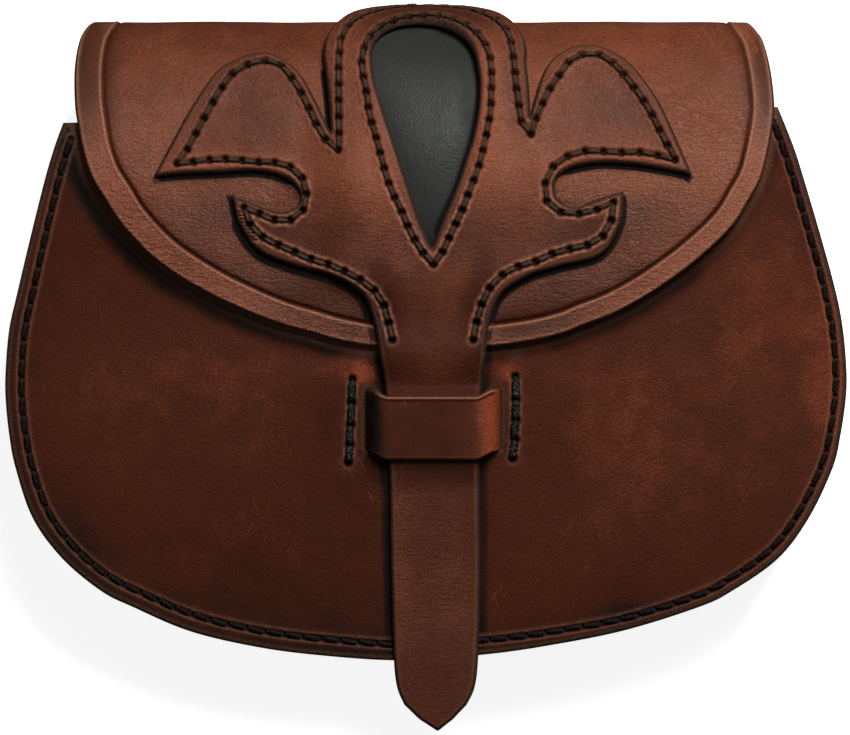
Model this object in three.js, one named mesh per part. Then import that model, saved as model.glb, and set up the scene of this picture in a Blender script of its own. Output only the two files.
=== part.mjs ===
// A belt bag of stiff leather, shut by a strap that slides under a keeper.
// Lengths are in millimetres: X runs across the bag, Y up it and Z out of its front.
// The bag lies on its back, on the flat faces of its two belt loops.

import * as THREE from "three";

const GAP = 0.3; // air between two pieces that touch on the bag
const LEATHER = { front: 2.5, back: 2.4, gusset: 2.0, overlay: 2.7, inlay: 1.1, keeper: 2.0, loop: 2.5 };
const BELT_ROOM = 5.5; // clear depth between a belt loop and the back panel
const BACK_FACE = LEATHER.loop + BELT_ROOM;

// The hide's outer face seen from the side: where it leaves the back, its top, and where it is flat.
const FOLD = { up: 65.8, top: 86.8, topDepth: 27.0, foot: 5.0, footDepth: 51.8, fullness: 3.9 };
const FOLD_STEPS = 60; // straight steps of the section behind the fold's top
const FLAP_STEPS = 240; // and before it
const FLAP_TURN = 20; // turn of the fold, in degrees, at which the flap lies nearly flat
const SEAM_FACE = 44.8; // outer face of the front panel along its seam
const SEAM_MARGIN = 6.0; // flat border of the front panel
const BULGE = { height: 3.2, up: -8.0, mouth: 0.95 }; // the dome of the front panel
const FLANGE = { edge: 0.3, inset: 7.0, bow: 1.0, bend: 3.0 }; // the gusset's turned-out borders
const STEP_DOWN = { from: 4.4, to: -5.0 }; // where the strap drops from the flap to the front panel
const LIFT = { half: 20.0, fade: 5.0, tail: 23.5 }; // where the overlay rides up over the inlay
const INLAY_MARGIN = 5.0; // how far the inlay reaches under the overlay, all round the window
const SLIT = { left: -15.0, right: 17.7, width: 2.7, top: -4.4, bottom: -23.9 };
const KEEPER = { top: -4.9, bottom: -23.4, tab: 8.5, roundTop: 4.0, roundTab: 1.6 };
const KEEPER_SLACK = { over: 0.25, under: 0.7 }; // play above the strap and behind the front panel
const BELT_LOOP = { across: 46.0, width: 24.0, low: -12.0, high: 52.0, foot: 12.0, round: 4.0 };
const LOOP_BEND = 1.8;
const STRAP_MIDDLE = 1.8; // x of the strap's middle line
const SHAPE_TOLERANCE = 0.12; // largest distance between a curve and its straight steps
const SWEEP_TOLERANCE = 0.3;

// Heights and positions at which the formed sheets are free to bend.
const PANEL_BENDS = { rows: [48, 36, 24, 12, 4, -12, -32, -44, -54, -62], stops: [8, 34, 54, 74, 92] };
const STRAP_BENDS = [12, 8, 3, 1, -1, -3, -5, -9, -15, -22, -30, -40, -50, -60, -66];
const HIDE_TURNS = [
  180, 172, 164, 156, 148, 140, 132, 124, 116, 108, 100, 92, 84, 77, 70, 63, 56, 49, 43, 37, 31, 26, 21,
  17, 14, 11, 9, 7, 5, 3.5, 2, 1,
];
const OVERLAY_TURNS = [86, 79, 72, 65, 58, 52, 46, 40, 34, 29, 24, 20, 16, 13, 10, 8, 6, 4.5, 3, 1.5];

// The body's outline, one row for each height, from the mouth's corners down to the bottom.
const BODY_ROWS = [
  { up: 54.9, left: -93.0, right: 91.8 },
  { up: 46.4, left: -95.5, right: 94.5 },
  { up: 31.1, left: -99.3, right: 99.0 },
  { up: 18.4, left: -102.3, right: 102.4 },
  { up: 9.4, left: -104.3, right: 104.1 },
  { up: -0.9, left: -105.2, right: 105.0 },
  { up: -8.1, left: -105.2, right: 104.8 },
  { up: -17.1, left: -104.3, right: 103.5 },
  { up: -25.4, left: -102.7, right: 101.5 },
  { up: -37.9, left: -98.4, right: 95.5 },
  { up: -48.0, left: -91.0, right: 87.8 },
  { up: -56.1, left: -81.3, right: 76.3 },
  { up: -60.1, left: -73.3, right: 68.0 },
  { up: -65.9, left: -59.8, right: 49.5 },
  { up: -69.6, left: -44.8, right: 31.0 },
  { up: -71.9, left: -29.0, right: 14.8 },
];
const BODY_CORNERS = { left: { x: -90.8, up: 60.9 }, right: { x: 87.8, up: 64.9 } };
const BODY_BOTTOM = { x: -6.5, up: -73.4 };
const NECK = { left: { x: -86.6, up: 61.8 }, right: { x: 86.2, up: 65.3 } }; // where the back narrows

// The flap's width round its fold: turn 180 is the back panel, 90 the top and 0 the front.
const FOLD_ROWS = [
  { turn: 180, left: -86.0, right: 85.4 },
  { turn: 150, left: -85.4, right: 83.2 },
  { turn: 120, left: -84.6, right: 81.5 },
  { turn: 90, left: -84.2, right: 81.2 },
  { turn: 64, left: -85.8, right: 82.6 },
  { turn: 48, left: -87.1, right: 84.4 },
  { turn: 29, left: -88.0, right: 86.0 },
];

// The flap's outline below the fold, seen from the front.
const FLAP_ROWS = [
  { up: 66.6, left: -87.8, right: 86.8 },
  { up: 61.1, left: -87.1, right: 86.5 },
  { up: 54.0, left: -85.8, right: 85.2 },
  { up: 47.2, left: -83.5, right: 83.4 },
  { up: 41.9, left: -80.3, right: 80.6 },
  { up: 34.6, left: -75.4, right: 75.9 },
  { up: 26.1, left: -66.8, right: 66.8 },
  { up: 18.9, left: -55.5, right: 56.8 },
  { up: 13.6, left: -44.3, right: 47.5 },
  { up: 10.4, left: -35.8, right: 39.3 },
  { up: 8.6, left: -29.0, right: 35.0 },
  { up: 6.6, left: -22.0, right: 27.3 },
  { up: 5.0, left: -12.3, right: 15.5 },
];
const FLAP_BOTTOM = { x: 1.5, up: 4.6 };

// The overlay's two edges, seen from the front: left edge x and height, right edge x and height.
const STEM_ROWS = [
  { left: [-25.5, 75.9], right: [24.9, 76.4] },
  { left: [-24.9, 70.9], right: [25.4, 71.9] },
  { left: [-24.3, 64.9], right: [25.7, 67.4] },
  { left: [-23.9, 58.6], right: [25.9, 62.4] },
];
const WING_ROWS = [
  { left: [-23.9, 58.6], right: [25.9, 62.4] },
  { left: [-27.9, 67.1], right: [27.5, 68.9] },
  { left: [-31.8, 73.9], right: [30.2, 75.8] },
  { left: [-37.5, 78.2], right: [35.2, 80.0] },
  { left: [-41.5, 79.0], right: [39.8, 81.0] },
  { left: [-45.5, 78.2], right: [44.0, 80.5] },
  { left: [-52.0, 74.6], right: [50.6, 76.6] },
  { left: [-57.2, 67.4], right: [56.8, 68.5] },
  { left: [-61.2, 60.4], right: [60.5, 61.2] },
  { left: [-67.9, 47.5], right: [66.1, 48.0] },
];
const BAY_ROWS = [
  { left: [-67.9, 47.5], right: [66.1, 48.0] },
  { left: [-61.5, 48.2], right: [60.4, 49.2] },
  { left: [-51.5, 48.6], right: [52.5, 50.5] },
  { left: [-42.0, 48.9], right: [43.0, 51.0] },
  { left: [-35.0, 47.1], right: [35.9, 49.6] },
  { left: [-31.5, 43.6], right: [32.2, 46.6] },
  { left: [-32.2, 39.9], right: [32.6, 42.0] },
  { left: [-37.0, 38.6], right: [36.8, 39.6] },
  { left: [-42.8, 40.4], right: [41.8, 41.5] },
  { left: [-48.4, 42.6], right: [49.0, 43.8] },
];
const HOOK_ROWS = [
  { left: [-48.4, 42.6], right: [49.0, 43.8] },
  { left: [-46.8, 36.1], right: [48.4, 35.9] },
  { left: [-41.8, 29.0], right: [43.5, 28.0] },
  { left: [-32.8, 25.2], right: [33.5, 25.1] },
  { left: [-23.2, 22.6], right: [25.2, 22.5] },
  { left: [-16.0, 18.1], right: [18.6, 18.0] },
  { left: [-13.0, 10.6], right: [15.6, 10.6] },
  { left: [-11.6, 3.0], right: [14.7, 3.0] },
  { left: [-10.4, -4.9], right: [13.8, -4.9] },
  { left: [-9.3, -25.6], right: [13.2, -25.6] },
  { left: [-8.8, -53.1], right: [13.4, -53.1] },
  { left: [-7.8, -76.9], right: [12.5, -76.9] },
  { left: [-5.5, -84.4], right: [10.0, -84.4] },
];
const STRAP_TIP = { left: [-1.8, -88.0], right: [6.5, -88.1], point: [2.8, -91.0] };
const ARCH = { x: -0.4, across: 25.4, turn: 34.0, top: 86.0 }; // half-ellipse over the fold

// The teardrop window, one row for each height seen from the front; its head is a half-ellipse.
const WINDOW_ROWS = [
  { up: 76.9, left: -13.6, right: 12.5 },
  { up: 71.9, left: -13.0, right: 13.2 },
  { up: 66.9, left: -11.6, right: 13.1 },
  { up: 61.9, left: -10.1, right: 12.5 },
  { up: 56.9, left: -8.4, right: 11.4 },
  { up: 51.9, left: -6.8, right: 9.8 },
  { up: 46.9, left: -5.2, right: 8.2 },
  { up: 41.9, left: -3.6, right: 6.3 },
  { up: 36.9, left: -1.9, right: 4.2 },
  { up: 31.9, left: 0.2, right: 2.3 },
];
const WINDOW_TIP = { x: 1.3, up: 29.6 };
const WINDOW_HEAD = { turn: 55.5, lean: -1.6 };

// ---- surfaces -------------------------------------------------------------------------------

// Points of the folded hide's section, each as height and depth: a quarter of an ellipse up the
// back, then a fuller curve that flattens slowly down the flap.
function foldSection() {
  const { up, top, topDepth, foot, footDepth, fullness } = FOLD;
  const behind = Array.from({ length: FOLD_STEPS + 1 }, (_, step) => {
    const turn = (Math.PI / 2) * (step / FOLD_STEPS);
    const depth = topDepth - (topDepth - BACK_FACE) * Math.cos(turn);
    return new THREE.Vector2(up + (top - up) * Math.sin(turn), depth);
  });
  const before = Array.from({ length: FLAP_STEPS }, (_, step) => {
    const share = 1 - ((step + 1) / FLAP_STEPS) ** 2;
    const depth = topDepth + (footDepth - topDepth) * Math.sqrt(1 - share ** fullness);
    return new THREE.Vector2(foot + (top - foot) * share, depth);
  });
  return [...behind, ...before];
}

const section = foldSection();
const sectionNormals = section.map((_, index) => {
  const before = section[Math.max(index - 1, 0)];
  const after = section[Math.min(index + 1, section.length - 1)];
  const forward = after.clone().sub(before).normalize();
  return new THREE.Vector2(forward.y, -forward.x);
});
sectionNormals[0].set(0, -1);
sectionNormals[section.length - 1].set(0, 1);
const sectionStations = section.reduce((reached, point, index) => {
  const step = index ? point.distanceTo(section[index - 1]) : 0;
  return [...reached, (reached[index - 1] ?? 0) + step];
}, []);
const topStation = sectionStations[FOLD_STEPS];
const lastStation = sectionStations[section.length - 1];

// The point of the section at a station, and the direction that it faces there.
function sectionAt(station) {
  const next = Math.max(sectionStations.findIndex((reached) => reached >= station), 1);
  const [from, to] = [sectionStations[next - 1], sectionStations[next]];
  const share = (station - from) / (to - from);
  return {
    place: section[next - 1].clone().lerp(section[next], share),
    normal: sectionNormals[next - 1].clone().lerp(sectionNormals[next], share),
  };
}

// A point on the folded sheet's outer face, raised by height; station 0 is where the fold begins.
function foldedPoint(station, height) {
  const within = THREE.MathUtils.clamp(station, 0, lastStation);
  const { place, normal } = sectionAt(within);
  const past = Math.abs(station - within); // the back and the flap's foot run straight down
  return { y: place.x + height * normal.x - past, z: place.y + height * normal.y };
}

// The station before the fold's top at which a falling measure reaches a value.
function stationWhere(measure, value, low) {
  let [start, end] = [low, lastStation + FOLD.top];
  for (let halving = 0; halving < 40; halving += 1) {
    const middle = (start + end) / 2;
    [start, end] = measure(middle) > value ? [middle, end] : [start, middle];
  }
  return (start + end) / 2;
}

// The station of a height seen from the front, on a face raised above the folded sheet.
function foldedStation(up, height) {
  return stationWhere((station) => foldedPoint(station, height).y, up, topStation);
}

// The station at which the sheet is turned by an angle in degrees from facing the front.
function turnStation(turn) {
  const turned = (station) => {
    const { normal } = sectionAt(THREE.MathUtils.clamp(station, 0, lastStation));
    return THREE.MathUtils.radToDeg(Math.atan2(normal.x, normal.y));
  };
  return stationWhere(turned, turn, 0);
}

const flapStation = turnStation(FLAP_TURN);

// ---- outlines -------------------------------------------------------------------------------

function smoothLine(points) {
  const curve = new THREE.SplineCurve(points);
  return curve.getSpacedPoints(Math.ceil(curve.getLength() / 0.5));
}

// Drops the points that a straight step can stand for.
function thinned(points, tolerance) {
  const first = points[0];
  const last = points[points.length - 1];
  const chord = last.clone().sub(first);
  let worst = 0;
  let split = 0;
  points.forEach((point, index) => {
    const away = point.clone().sub(first);
    const distance = Math.abs(chord.cross(away)) / chord.length();
    if (distance > worst) {
      worst = distance;
      split = index;
    }
  });
  if (worst < tolerance) {
    return [first, last];
  }
  const before = thinned(points.slice(0, split + 1), tolerance);
  return [...before.slice(0, -1), ...thinned(points.slice(split), tolerance)];
}

// Slides each inner point along its curve to a shared row, so that both sides meet the same rows.
function onRows(points) {
  const moved = points.map((point, index) => {
    const coarse = index > 0 && index < points.length - 1;
    if (!coarse) {
      return new THREE.Vector2(point.x, Math.round(point.y * 10) / 10);
    }
    const run = points[index + 1].clone().sub(points[index - 1]).normalize();
    const steep = Math.abs(run.y) > 0.6;
    const row = steep ? Math.round(point.y / 2) * 2 : Math.round(point.y * 5) / 5;
    const slide = steep ? ((row - point.y) * run.x) / run.y : 0;
    return new THREE.Vector2(point.x + slide, row);
  });
  return moved.filter((point, index) => index === 0 || point.distanceTo(moved[index - 1]) > 0.4);
}

function sampledRun(points) {
  return onRows(thinned(smoothLine(points), SHAPE_TOLERANCE));
}

// Joins runs that end where the next one starts into one closed ring.
function joinedRing(runs) {
  return runs.flatMap((run) => run.slice(0, -1));
}

function sidePoints(rows, side, place) {
  return rows.map((row) => place(row[side], row.up));
}

function offsetRing(ring, distance) {
  const turning = Math.sign(THREE.ShapeUtils.area(ring));
  return ring.map((point, index) => {
    const before = ring[(index + ring.length - 1) % ring.length];
    const after = ring[(index + 1) % ring.length];
    const into = point.clone().sub(before).normalize();
    const out = after.clone().sub(point).normalize();
    const normal = new THREE.Vector2(into.y + out.y, -into.x - out.x).normalize();
    const stretch = Math.min(1 / Math.max(normal.dot(new THREE.Vector2(out.y, -out.x)), 0.1), 1.05);
    return point.clone().addScaledVector(normal, distance * stretch * turning);
  });
}

// ---- meshing --------------------------------------------------------------------------------

// A mesh from flat positions and triangles, turned over if its faces would point inwards.
function meshFrom(name, positions, faces, look) {
  const corner = (index) => new THREE.Vector3().fromArray(positions, index * 3);
  const volume = faces.reduce((sum, [a, b, c]) => sum + corner(a).dot(corner(b).cross(corner(c))), 0);
  const outward = volume > 0 ? faces : faces.map(([a, b, c]) => [a, c, b]);
  const geometry = new THREE.BufferGeometry();
  geometry.setAttribute("position", new THREE.Float32BufferAttribute(positions, 3));
  geometry.setIndex(outward.flat());
  geometry.computeVertexNormals();
  const mesh = new THREE.Mesh(geometry, new THREE.MeshStandardMaterial(look));
  mesh.name = name;
  return mesh;
}

// The heights at which a flat pattern is cut into rows: every outline point and every bend.
function patternRows(rings, bends) {
  const heights = new Set(rings.flat().map((point) => Math.round(point.y * 100) / 100));
  const known = [...heights];
  const low = Math.min(...known);
  const high = Math.max(...known);
  bends
    .filter((bend) => bend > low && bend < high)
    .filter((bend) => known.every((height) => Math.abs(height - bend) > 0.5))
    .forEach((bend) => heights.add(Math.round(bend * 100) / 100));
  return [...heights].sort((a, b) => a - b);
}

// Triangulates a flat pattern row by row, so that it can bend along any row and any stop.
function patternTriangles(rings, bends, stops) {
  const rows = patternRows(rings, bends);
  const rowOf = (y) => rows.findIndex((height) => Math.abs(height - y) < 0.006);
  const places = rows.map(() => new Set());
  const strips = rows.map(() => []);
  const tidy = (x) => Math.round(x * 1000) / 1000;
  for (const ring of rings) {
    ring.forEach((from, index) => {
      const to = ring[(index + 1) % ring.length];
      const [low, high] = from.y < to.y ? [from, to] : [to, from];
      const across = (row) => {
        const share = (rows[row] - low.y) / (high.y - low.y);
        return tidy(THREE.MathUtils.lerp(low.x, high.x, THREE.MathUtils.clamp(share, 0, 1)));
      };
      places[rowOf(from.y)].add(tidy(from.x));
      for (let row = rowOf(low.y); row < rowOf(high.y); row += 1) {
        strips[row].push([across(row), across(row + 1)]);
        places[row].add(across(row));
        places[row + 1].add(across(row + 1));
      }
    });
  }
  const inside = (row, x) => {
    const pairs = [strips[row] ?? [], strips[row - 1] ?? []];
    return pairs.some((edges, below) => {
      const crossed = edges.map((edge) => edge[below]).filter((edge) => edge < x);
      return crossed.length % 2 === 1;
    });
  };
  rows.forEach((_, row) => {
    const fixed = [...places[row]];
    stops
      .filter((stop) => fixed.every((x) => Math.abs(x - stop) > 1.2) && inside(row, stop))
      .forEach((stop) => places[row].add(stop));
  });
  const lines = places.map((set) => [...set].sort((a, b) => a - b));
  const starts = [];
  const points = [];
  lines.forEach((line, row) => {
    starts.push(points.length);
    line.forEach((x) => points.push(new THREE.Vector2(x, rows[row])));
  });
  const chain = (row, from, to) =>
    lines[row].flatMap((x, index) => (x >= from && x <= to ? [starts[row] + index] : []));
  const triangles = [];
  strips.forEach((edges, row) => {
    const sorted = [...edges].sort((a, b) => a[0] + a[1] - b[0] - b[1]);
    for (let pair = 0; pair + 1 < sorted.length; pair += 2) {
      const lower = chain(row, sorted[pair][0], sorted[pair + 1][0]);
      const upper = chain(row + 1, sorted[pair][1], sorted[pair + 1][1]);
      zipChains(lower, upper, points, triangles);
    }
  });
  return { points, triangles };
}

// Fills the strip between two rows of points, from left to right.
function zipChains(lower, upper, points, triangles) {
  let low = 0;
  let high = 0;
  while (low < lower.length - 1 || high < upper.length - 1) {
    const ahead = (chain, at) => (at < chain.length - 1 ? points[chain[at + 1]].x : Infinity);
    if (ahead(lower, low) <= ahead(upper, high)) {
      triangles.push([lower[low], lower[low + 1], upper[high]]);
      low += 1;
    } else {
      triangles.push([lower[low], upper[high + 1], upper[high]]);
      high += 1;
    }
  }
}

// A leather sheet: its flat pattern is bent by place(x, y, depth), from one face to the other.
function leatherSheet(name, { rings, bends, stops = [], thickness, place, look }) {
  const { points, triangles } = patternTriangles(rings, bends, stops);
  const count = points.length;
  const positions = [0, thickness].flatMap((depth) => points.flatMap((p) => place(p.x, p.y, depth)));
  const borders = new Map();
  for (const [a, b, c] of triangles) {
    for (const [from, to] of [[a, b], [b, c], [c, a]]) {
      if (!borders.delete(`${to}_${from}`)) {
        borders.set(`${from}_${to}`, [from, to]);
      }
    }
  }
  const faces = triangles.flatMap(([a, b, c]) => [[a, c, b], [a + count, b + count, c + count]]);
  for (const [from, to] of borders.values()) {
    faces.push([from, to, to + count], [from, to + count, from + count]);
  }
  return meshFrom(name, positions, faces, look);
}

// A closed section swept along a path, with a mitre at each step and a flat face at each end.
function sweptBand(name, path, section, look) {
  const positions = [];
  path.forEach((point, index) => {
    const before = path[Math.max(index - 1, 0)];
    const after = path[Math.min(index + 1, path.length - 1)];
    const into = index > 0 ? point.clone().sub(before).normalize() : after.clone().sub(point).normalize();
    const out = index < path.length - 1 ? after.clone().sub(point).normalize() : into;
    const inward = new THREE.Vector2(-into.y - out.y, into.x + out.x).normalize();
    const stretch = 1 / inward.dot(new THREE.Vector2(-out.y, out.x));
    for (const { x: inset, y: z } of section) {
      const place = point.clone().addScaledVector(inward, inset * stretch);
      positions.push(place.x, place.y, z);
    }
  });
  const sides = section.length;
  const faces = [];
  for (let step = 0; step < path.length - 1; step += 1) {
    for (let side = 0; side < sides; side += 1) {
      const here = step * sides;
      const next = (side + 1) % sides;
      faces.push([here + side, here + sides + next, here + next]);
      faces.push([here + side, here + sides + side, here + sides + next]);
    }
  }
  const last = (path.length - 1) * sides;
  const winding = Math.sign(THREE.ShapeUtils.area(section));
  for (const cap of THREE.ShapeUtils.triangulateShape(section, [])) {
    const same = Math.sign(THREE.ShapeUtils.area(cap.map((index) => section[index]))) === winding;
    const [a, b, c] = same ? cap : [...cap].reverse();
    faces.push([a, b, c], [last + a, last + c, last + b]);
  }
  return meshFrom(name, positions, faces, look);
}

// A line through corners, each rounded by its own radius.
function roundedLine(corners, stepDegrees = 24) {
  return corners.flatMap(({ at, round = 0 }, index) => {
    const here = new THREE.Vector2(...at);
    if (!round) {
      return [here];
    }
    const into = here.clone().sub(new THREE.Vector2(...corners[index - 1].at)).normalize();
    const out = new THREE.Vector2(...corners[index + 1].at).sub(here).normalize();
    const turn = Math.atan2(into.cross(out), into.dot(out));
    const start = here.clone().addScaledVector(into, -round * Math.tan(Math.abs(turn) / 2));
    const side = new THREE.Vector2(-into.y, into.x).multiplyScalar(Math.sign(turn) * round);
    const centre = start.clone().add(side);
    const steps = Math.ceil(Math.abs(turn) / THREE.MathUtils.degToRad(stepDegrees));
    return Array.from({ length: steps + 1 }, (_, step) =>
      start.clone().rotateAround(centre, (turn * step) / steps));
  });
}

// A band of leather of one width, bent along a middle line in the plane across that width.
function bentBand(name, { line, thickness, width, look }) {
  const shift = (distance) => line.map((point, index) => {
    const before = line[Math.max(index - 1, 0)];
    const after = line[Math.min(index + 1, line.length - 1)];
    const into = index > 0 ? point.clone().sub(before).normalize() : after.clone().sub(point).normalize();
    const out = index < line.length - 1 ? after.clone().sub(point).normalize() : into;
    const normal = new THREE.Vector2(-into.y - out.y, into.x + out.x).normalize();
    const stretch = 1 / normal.dot(new THREE.Vector2(-out.y, out.x));
    return point.clone().addScaledVector(normal, distance * stretch);
  });
  const outline = [...shift(thickness / 2), ...shift(-thickness / 2).reverse()];
  const shape = new THREE.Shape(outline);
  const geometry = new THREE.ExtrudeGeometry(shape, { depth: width, bevelEnabled: false, steps: 1 });
  const mesh = new THREE.Mesh(geometry, new THREE.MeshStandardMaterial(look));
  mesh.name = name;
  return mesh;
}

// ---- the body -------------------------------------------------------------------------------

const flat = (x, up) => new THREE.Vector2(x, up);
const cornerLeft = flat(BODY_CORNERS.left.x, BODY_CORNERS.left.up);
const cornerRight = flat(BODY_CORNERS.right.x, BODY_CORNERS.right.up);

function bodyRun() {
  return smoothLine([
    cornerLeft,
    ...sidePoints(BODY_ROWS, "left", flat),
    flat(BODY_BOTTOM.x, BODY_BOTTOM.up),
    ...sidePoints(BODY_ROWS, "right", flat).reverse(),
    cornerRight,
  ]);
}

const bodyCurve = bodyRun();
const bodyEdge = onRows(thinned(bodyCurve, SHAPE_TOLERANCE));

// Half the body's width and its middle at a height.
function bodySpan(up) {
  const height = THREE.MathUtils.clamp(up, BODY_BOTTOM.up + 0.1, cornerLeft.y);
  const crossings = [];
  bodyCurve.slice(1).forEach((to, index) => {
    const from = bodyCurve[index];
    if ((from.y - height) * (to.y - height) <= 0 && from.y !== to.y) {
      crossings.push(THREE.MathUtils.mapLinear(height, from.y, to.y, from.x, to.x));
    }
  });
  const left = Math.min(...crossings);
  const right = Math.max(...crossings);
  return { middle: (left + right) / 2, half: (right - left) / 2 };
}

// Height of the front panel's outer face: flat at the seam, domed inside it.
function panelFace(x, up) {
  const { middle, half } = bodySpan(up);
  const across = Math.min(Math.abs(x - middle) / Math.max(half - SEAM_MARGIN, 1), 1);
  const below = (BULGE.up - up) / (BULGE.up - BODY_BOTTOM.up - SEAM_MARGIN);
  const above = (BULGE.mouth * (up - BULGE.up)) / (cornerLeft.y - BULGE.up);
  const along = THREE.MathUtils.clamp(Math.max(below, above), 0, 1);
  return SEAM_FACE + BULGE.height * ((1 - across ** 2) * (1 - along ** 2)) ** 1.5;
}

function frontPanel() {
  const slit = (x) => [
    flat(x - SLIT.width / 2, SLIT.top),
    flat(x - SLIT.width / 2, SLIT.bottom),
    flat(x + SLIT.width / 2, SLIT.bottom),
    flat(x + SLIT.width / 2, SLIT.top),
  ];
  return leatherSheet("front_panel", {
    rings: [bodyEdge, slit(SLIT.left), slit(SLIT.right)],
    bends: PANEL_BENDS.rows,
    stops: PANEL_BENDS.stops.flatMap((stop) => [-stop, stop]),
    thickness: LEATHER.front,
    place: (x, y, depth) => [x, y, panelFace(x, y) - depth],
    look: { color: 0x4a2014, roughness: 0.5, metalness: 0 },
  });
}

function gusset() {
  const low = BACK_FACE + LEATHER.back + GAP;
  const high = SEAM_FACE - LEATHER.front - GAP;
  const { edge, inset, bow, bend } = FLANGE;
  const thick = LEATHER.gusset;
  const middle = (low + high) / 2;
  const section = roundedLine([
    { at: [edge, high] },
    { at: [inset + thick, high], round: bend },
    { at: [inset + thick - bow, middle] },
    { at: [inset + thick, low], round: bend },
    { at: [edge, low] },
    { at: [edge, low + thick] },
    { at: [inset, low + thick], round: bend - thick },
    { at: [inset - bow, middle] },
    { at: [inset, high - thick], round: bend - thick },
    { at: [edge, high - thick] },
  ], 46);
  const finish = { color: 0x3c1a10, roughness: 0.6, metalness: 0 };
  return sweptBand("gusset", thinned(bodyCurve, SWEEP_TOLERANCE), section, finish);
}

function backAndFlap() {
  const developed = (x, up) => flat(x, foldedStation(up, 0));
  const fold = (side) => FOLD_ROWS.map((row) => flat(row[side], turnStation(row.turn)));
  const flapSide = (side) => [...fold(side), ...sidePoints(FLAP_ROWS, side, developed)];
  const flapRun = [
    ...flapSide("left"),
    developed(FLAP_BOTTOM.x, FLAP_BOTTOM.up),
    ...flapSide("right").reverse(),
  ];
  const backRun = bodyEdge.map((point) => flat(point.x, point.y - FOLD.up));
  const neck = sampledRun(flapRun);
  const shoulder = ({ x, up }) => flat(x, up - FOLD.up);
  const ring = [...backRun, shoulder(NECK.right), ...neck.reverse(), shoulder(NECK.left)];
  return leatherSheet("back_and_flap", {
    rings: [ring],
    bends: HIDE_TURNS.map(turnStation),
    thickness: LEATHER.back,
    place: (x, y, depth) => {
      const point = foldedPoint(y, -depth);
      return [x, point.y, point.z];
    },
    look: { color: 0x5e2a18, roughness: 0.45, metalness: 0 },
  });
}

// ---- the overlay, its inlay and its strap ---------------------------------------------------

const smooth = THREE.MathUtils.smoothstep;
const overlayRise = LEATHER.inlay + GAP; // extra height of the overlay where the inlay lies under it
const strapStart = foldedStation(STEP_DOWN.from, GAP);

function overlayLift(x, station) {
  const up = foldedPoint(Math.min(station, strapStart), 0).y;
  const side = 1 - smooth(Math.abs(x), LIFT.half, LIFT.half + LIFT.fade);
  const tail = station < flapStation ? 1 : smooth(up, LIFT.tail - LIFT.fade, LIFT.tail);
  return overlayRise * side * tail;
}

// Height of the strap's under face where it leaves the flap and follows the front panel.
function strapUnder(up) {
  const start = foldedPoint(strapStart, GAP);
  const panelLine = panelFace(STRAP_MIDDLE, up) + GAP;
  return THREE.MathUtils.lerp(panelLine, start.z, smooth(up, STEP_DOWN.to, STEP_DOWN.from));
}

function overlayPoint(x, station, height) {
  if (station <= strapStart) {
    return foldedPoint(station, GAP + overlayLift(x, station) + height);
  }
  const up = foldedPoint(strapStart, GAP).y - (station - strapStart);
  const slope = (strapUnder(up - 0.1) - strapUnder(up + 0.1)) / 0.2;
  const tilt = Math.atan(slope);
  return { y: up + height * Math.sin(tilt), z: strapUnder(up) + height * Math.cos(tilt) };
}

// The flat pattern's point for a place on the overlay's top face, seen from the front.
function developedOverlay(x, up) {
  const flush = foldedStation(up, GAP + LEATHER.overlay);
  if (flush > strapStart) {
    return flat(x, strapStart + foldedPoint(strapStart, GAP).y - up);
  }
  return flat(x, foldedStation(up, GAP + LEATHER.overlay + overlayLift(x, flush)));
}

// Half an ellipse over the fold, from its left end to its right end; lean moves its top sideways.
function archPoints({ x, across, base, top, lean = 0, steps = 12 }) {
  const rise = base - turnStation(top);
  return Array.from({ length: steps + 1 }, (_, step) => {
    const angle = Math.PI - (Math.PI * step) / steps;
    return flat(x + across * Math.cos(angle) + lean * Math.sin(angle), base - rise * Math.sin(angle));
  });
}

function overlayRows(rows, side) {
  return rows.map((row) => developedOverlay(...row[side]));
}

function overlayRing() {
  const arch = archPoints({ ...ARCH, base: turnStation(ARCH.turn) });
  const stemLeft = overlayRows(STEM_ROWS, "left");
  const stemRight = overlayRows(STEM_ROWS, "right");
  const runs = [WING_ROWS, BAY_ROWS, HOOK_ROWS];
  const down = (side) => runs.map((rows) => sampledRun(overlayRows(rows, side)));
  const tip = ["left", "point", "right"].map((part) => developedOverlay(...STRAP_TIP[part]));
  const strapEnd = (side) => overlayRows(HOOK_ROWS.slice(-1), side)[0];
  return joinedRing([
    sampledRun([...stemRight.reverse(), ...arch.reverse(), ...stemLeft]),
    ...down("left"),
    onRows([strapEnd("left"), ...tip, strapEnd("right")]),
    ...down("right").reverse().map((run) => run.reverse()),
  ]);
}

function windowRing() {
  const left = sidePoints(WINDOW_ROWS, "left", developedOverlay);
  const right = sidePoints(WINDOW_ROWS, "right", developedOverlay);
  const [{ x: west, y: base }, { x: east }] = [left[0], right[0]];
  const head = archPoints({
    x: (west + east) / 2,
    across: (east - west) / 2,
    base,
    top: WINDOW_HEAD.turn,
    lean: WINDOW_HEAD.lean,
  });
  const tip = developedOverlay(WINDOW_TIP.x, WINDOW_TIP.up);
  const rising = sampledRun([tip, ...left.reverse(), ...head.slice(1, -1)]);
  const falling = sampledRun([head[head.length - 2], ...right, tip]);
  return joinedRing([rising, falling]);
}

function overlayBends() {
  const heights = [LIFT.tail, LIFT.tail - LIFT.fade, ...STRAP_BENDS];
  return [...OVERLAY_TURNS.map(turnStation), ...heights.map((up) => developedOverlay(0, up).y)];
}

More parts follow.
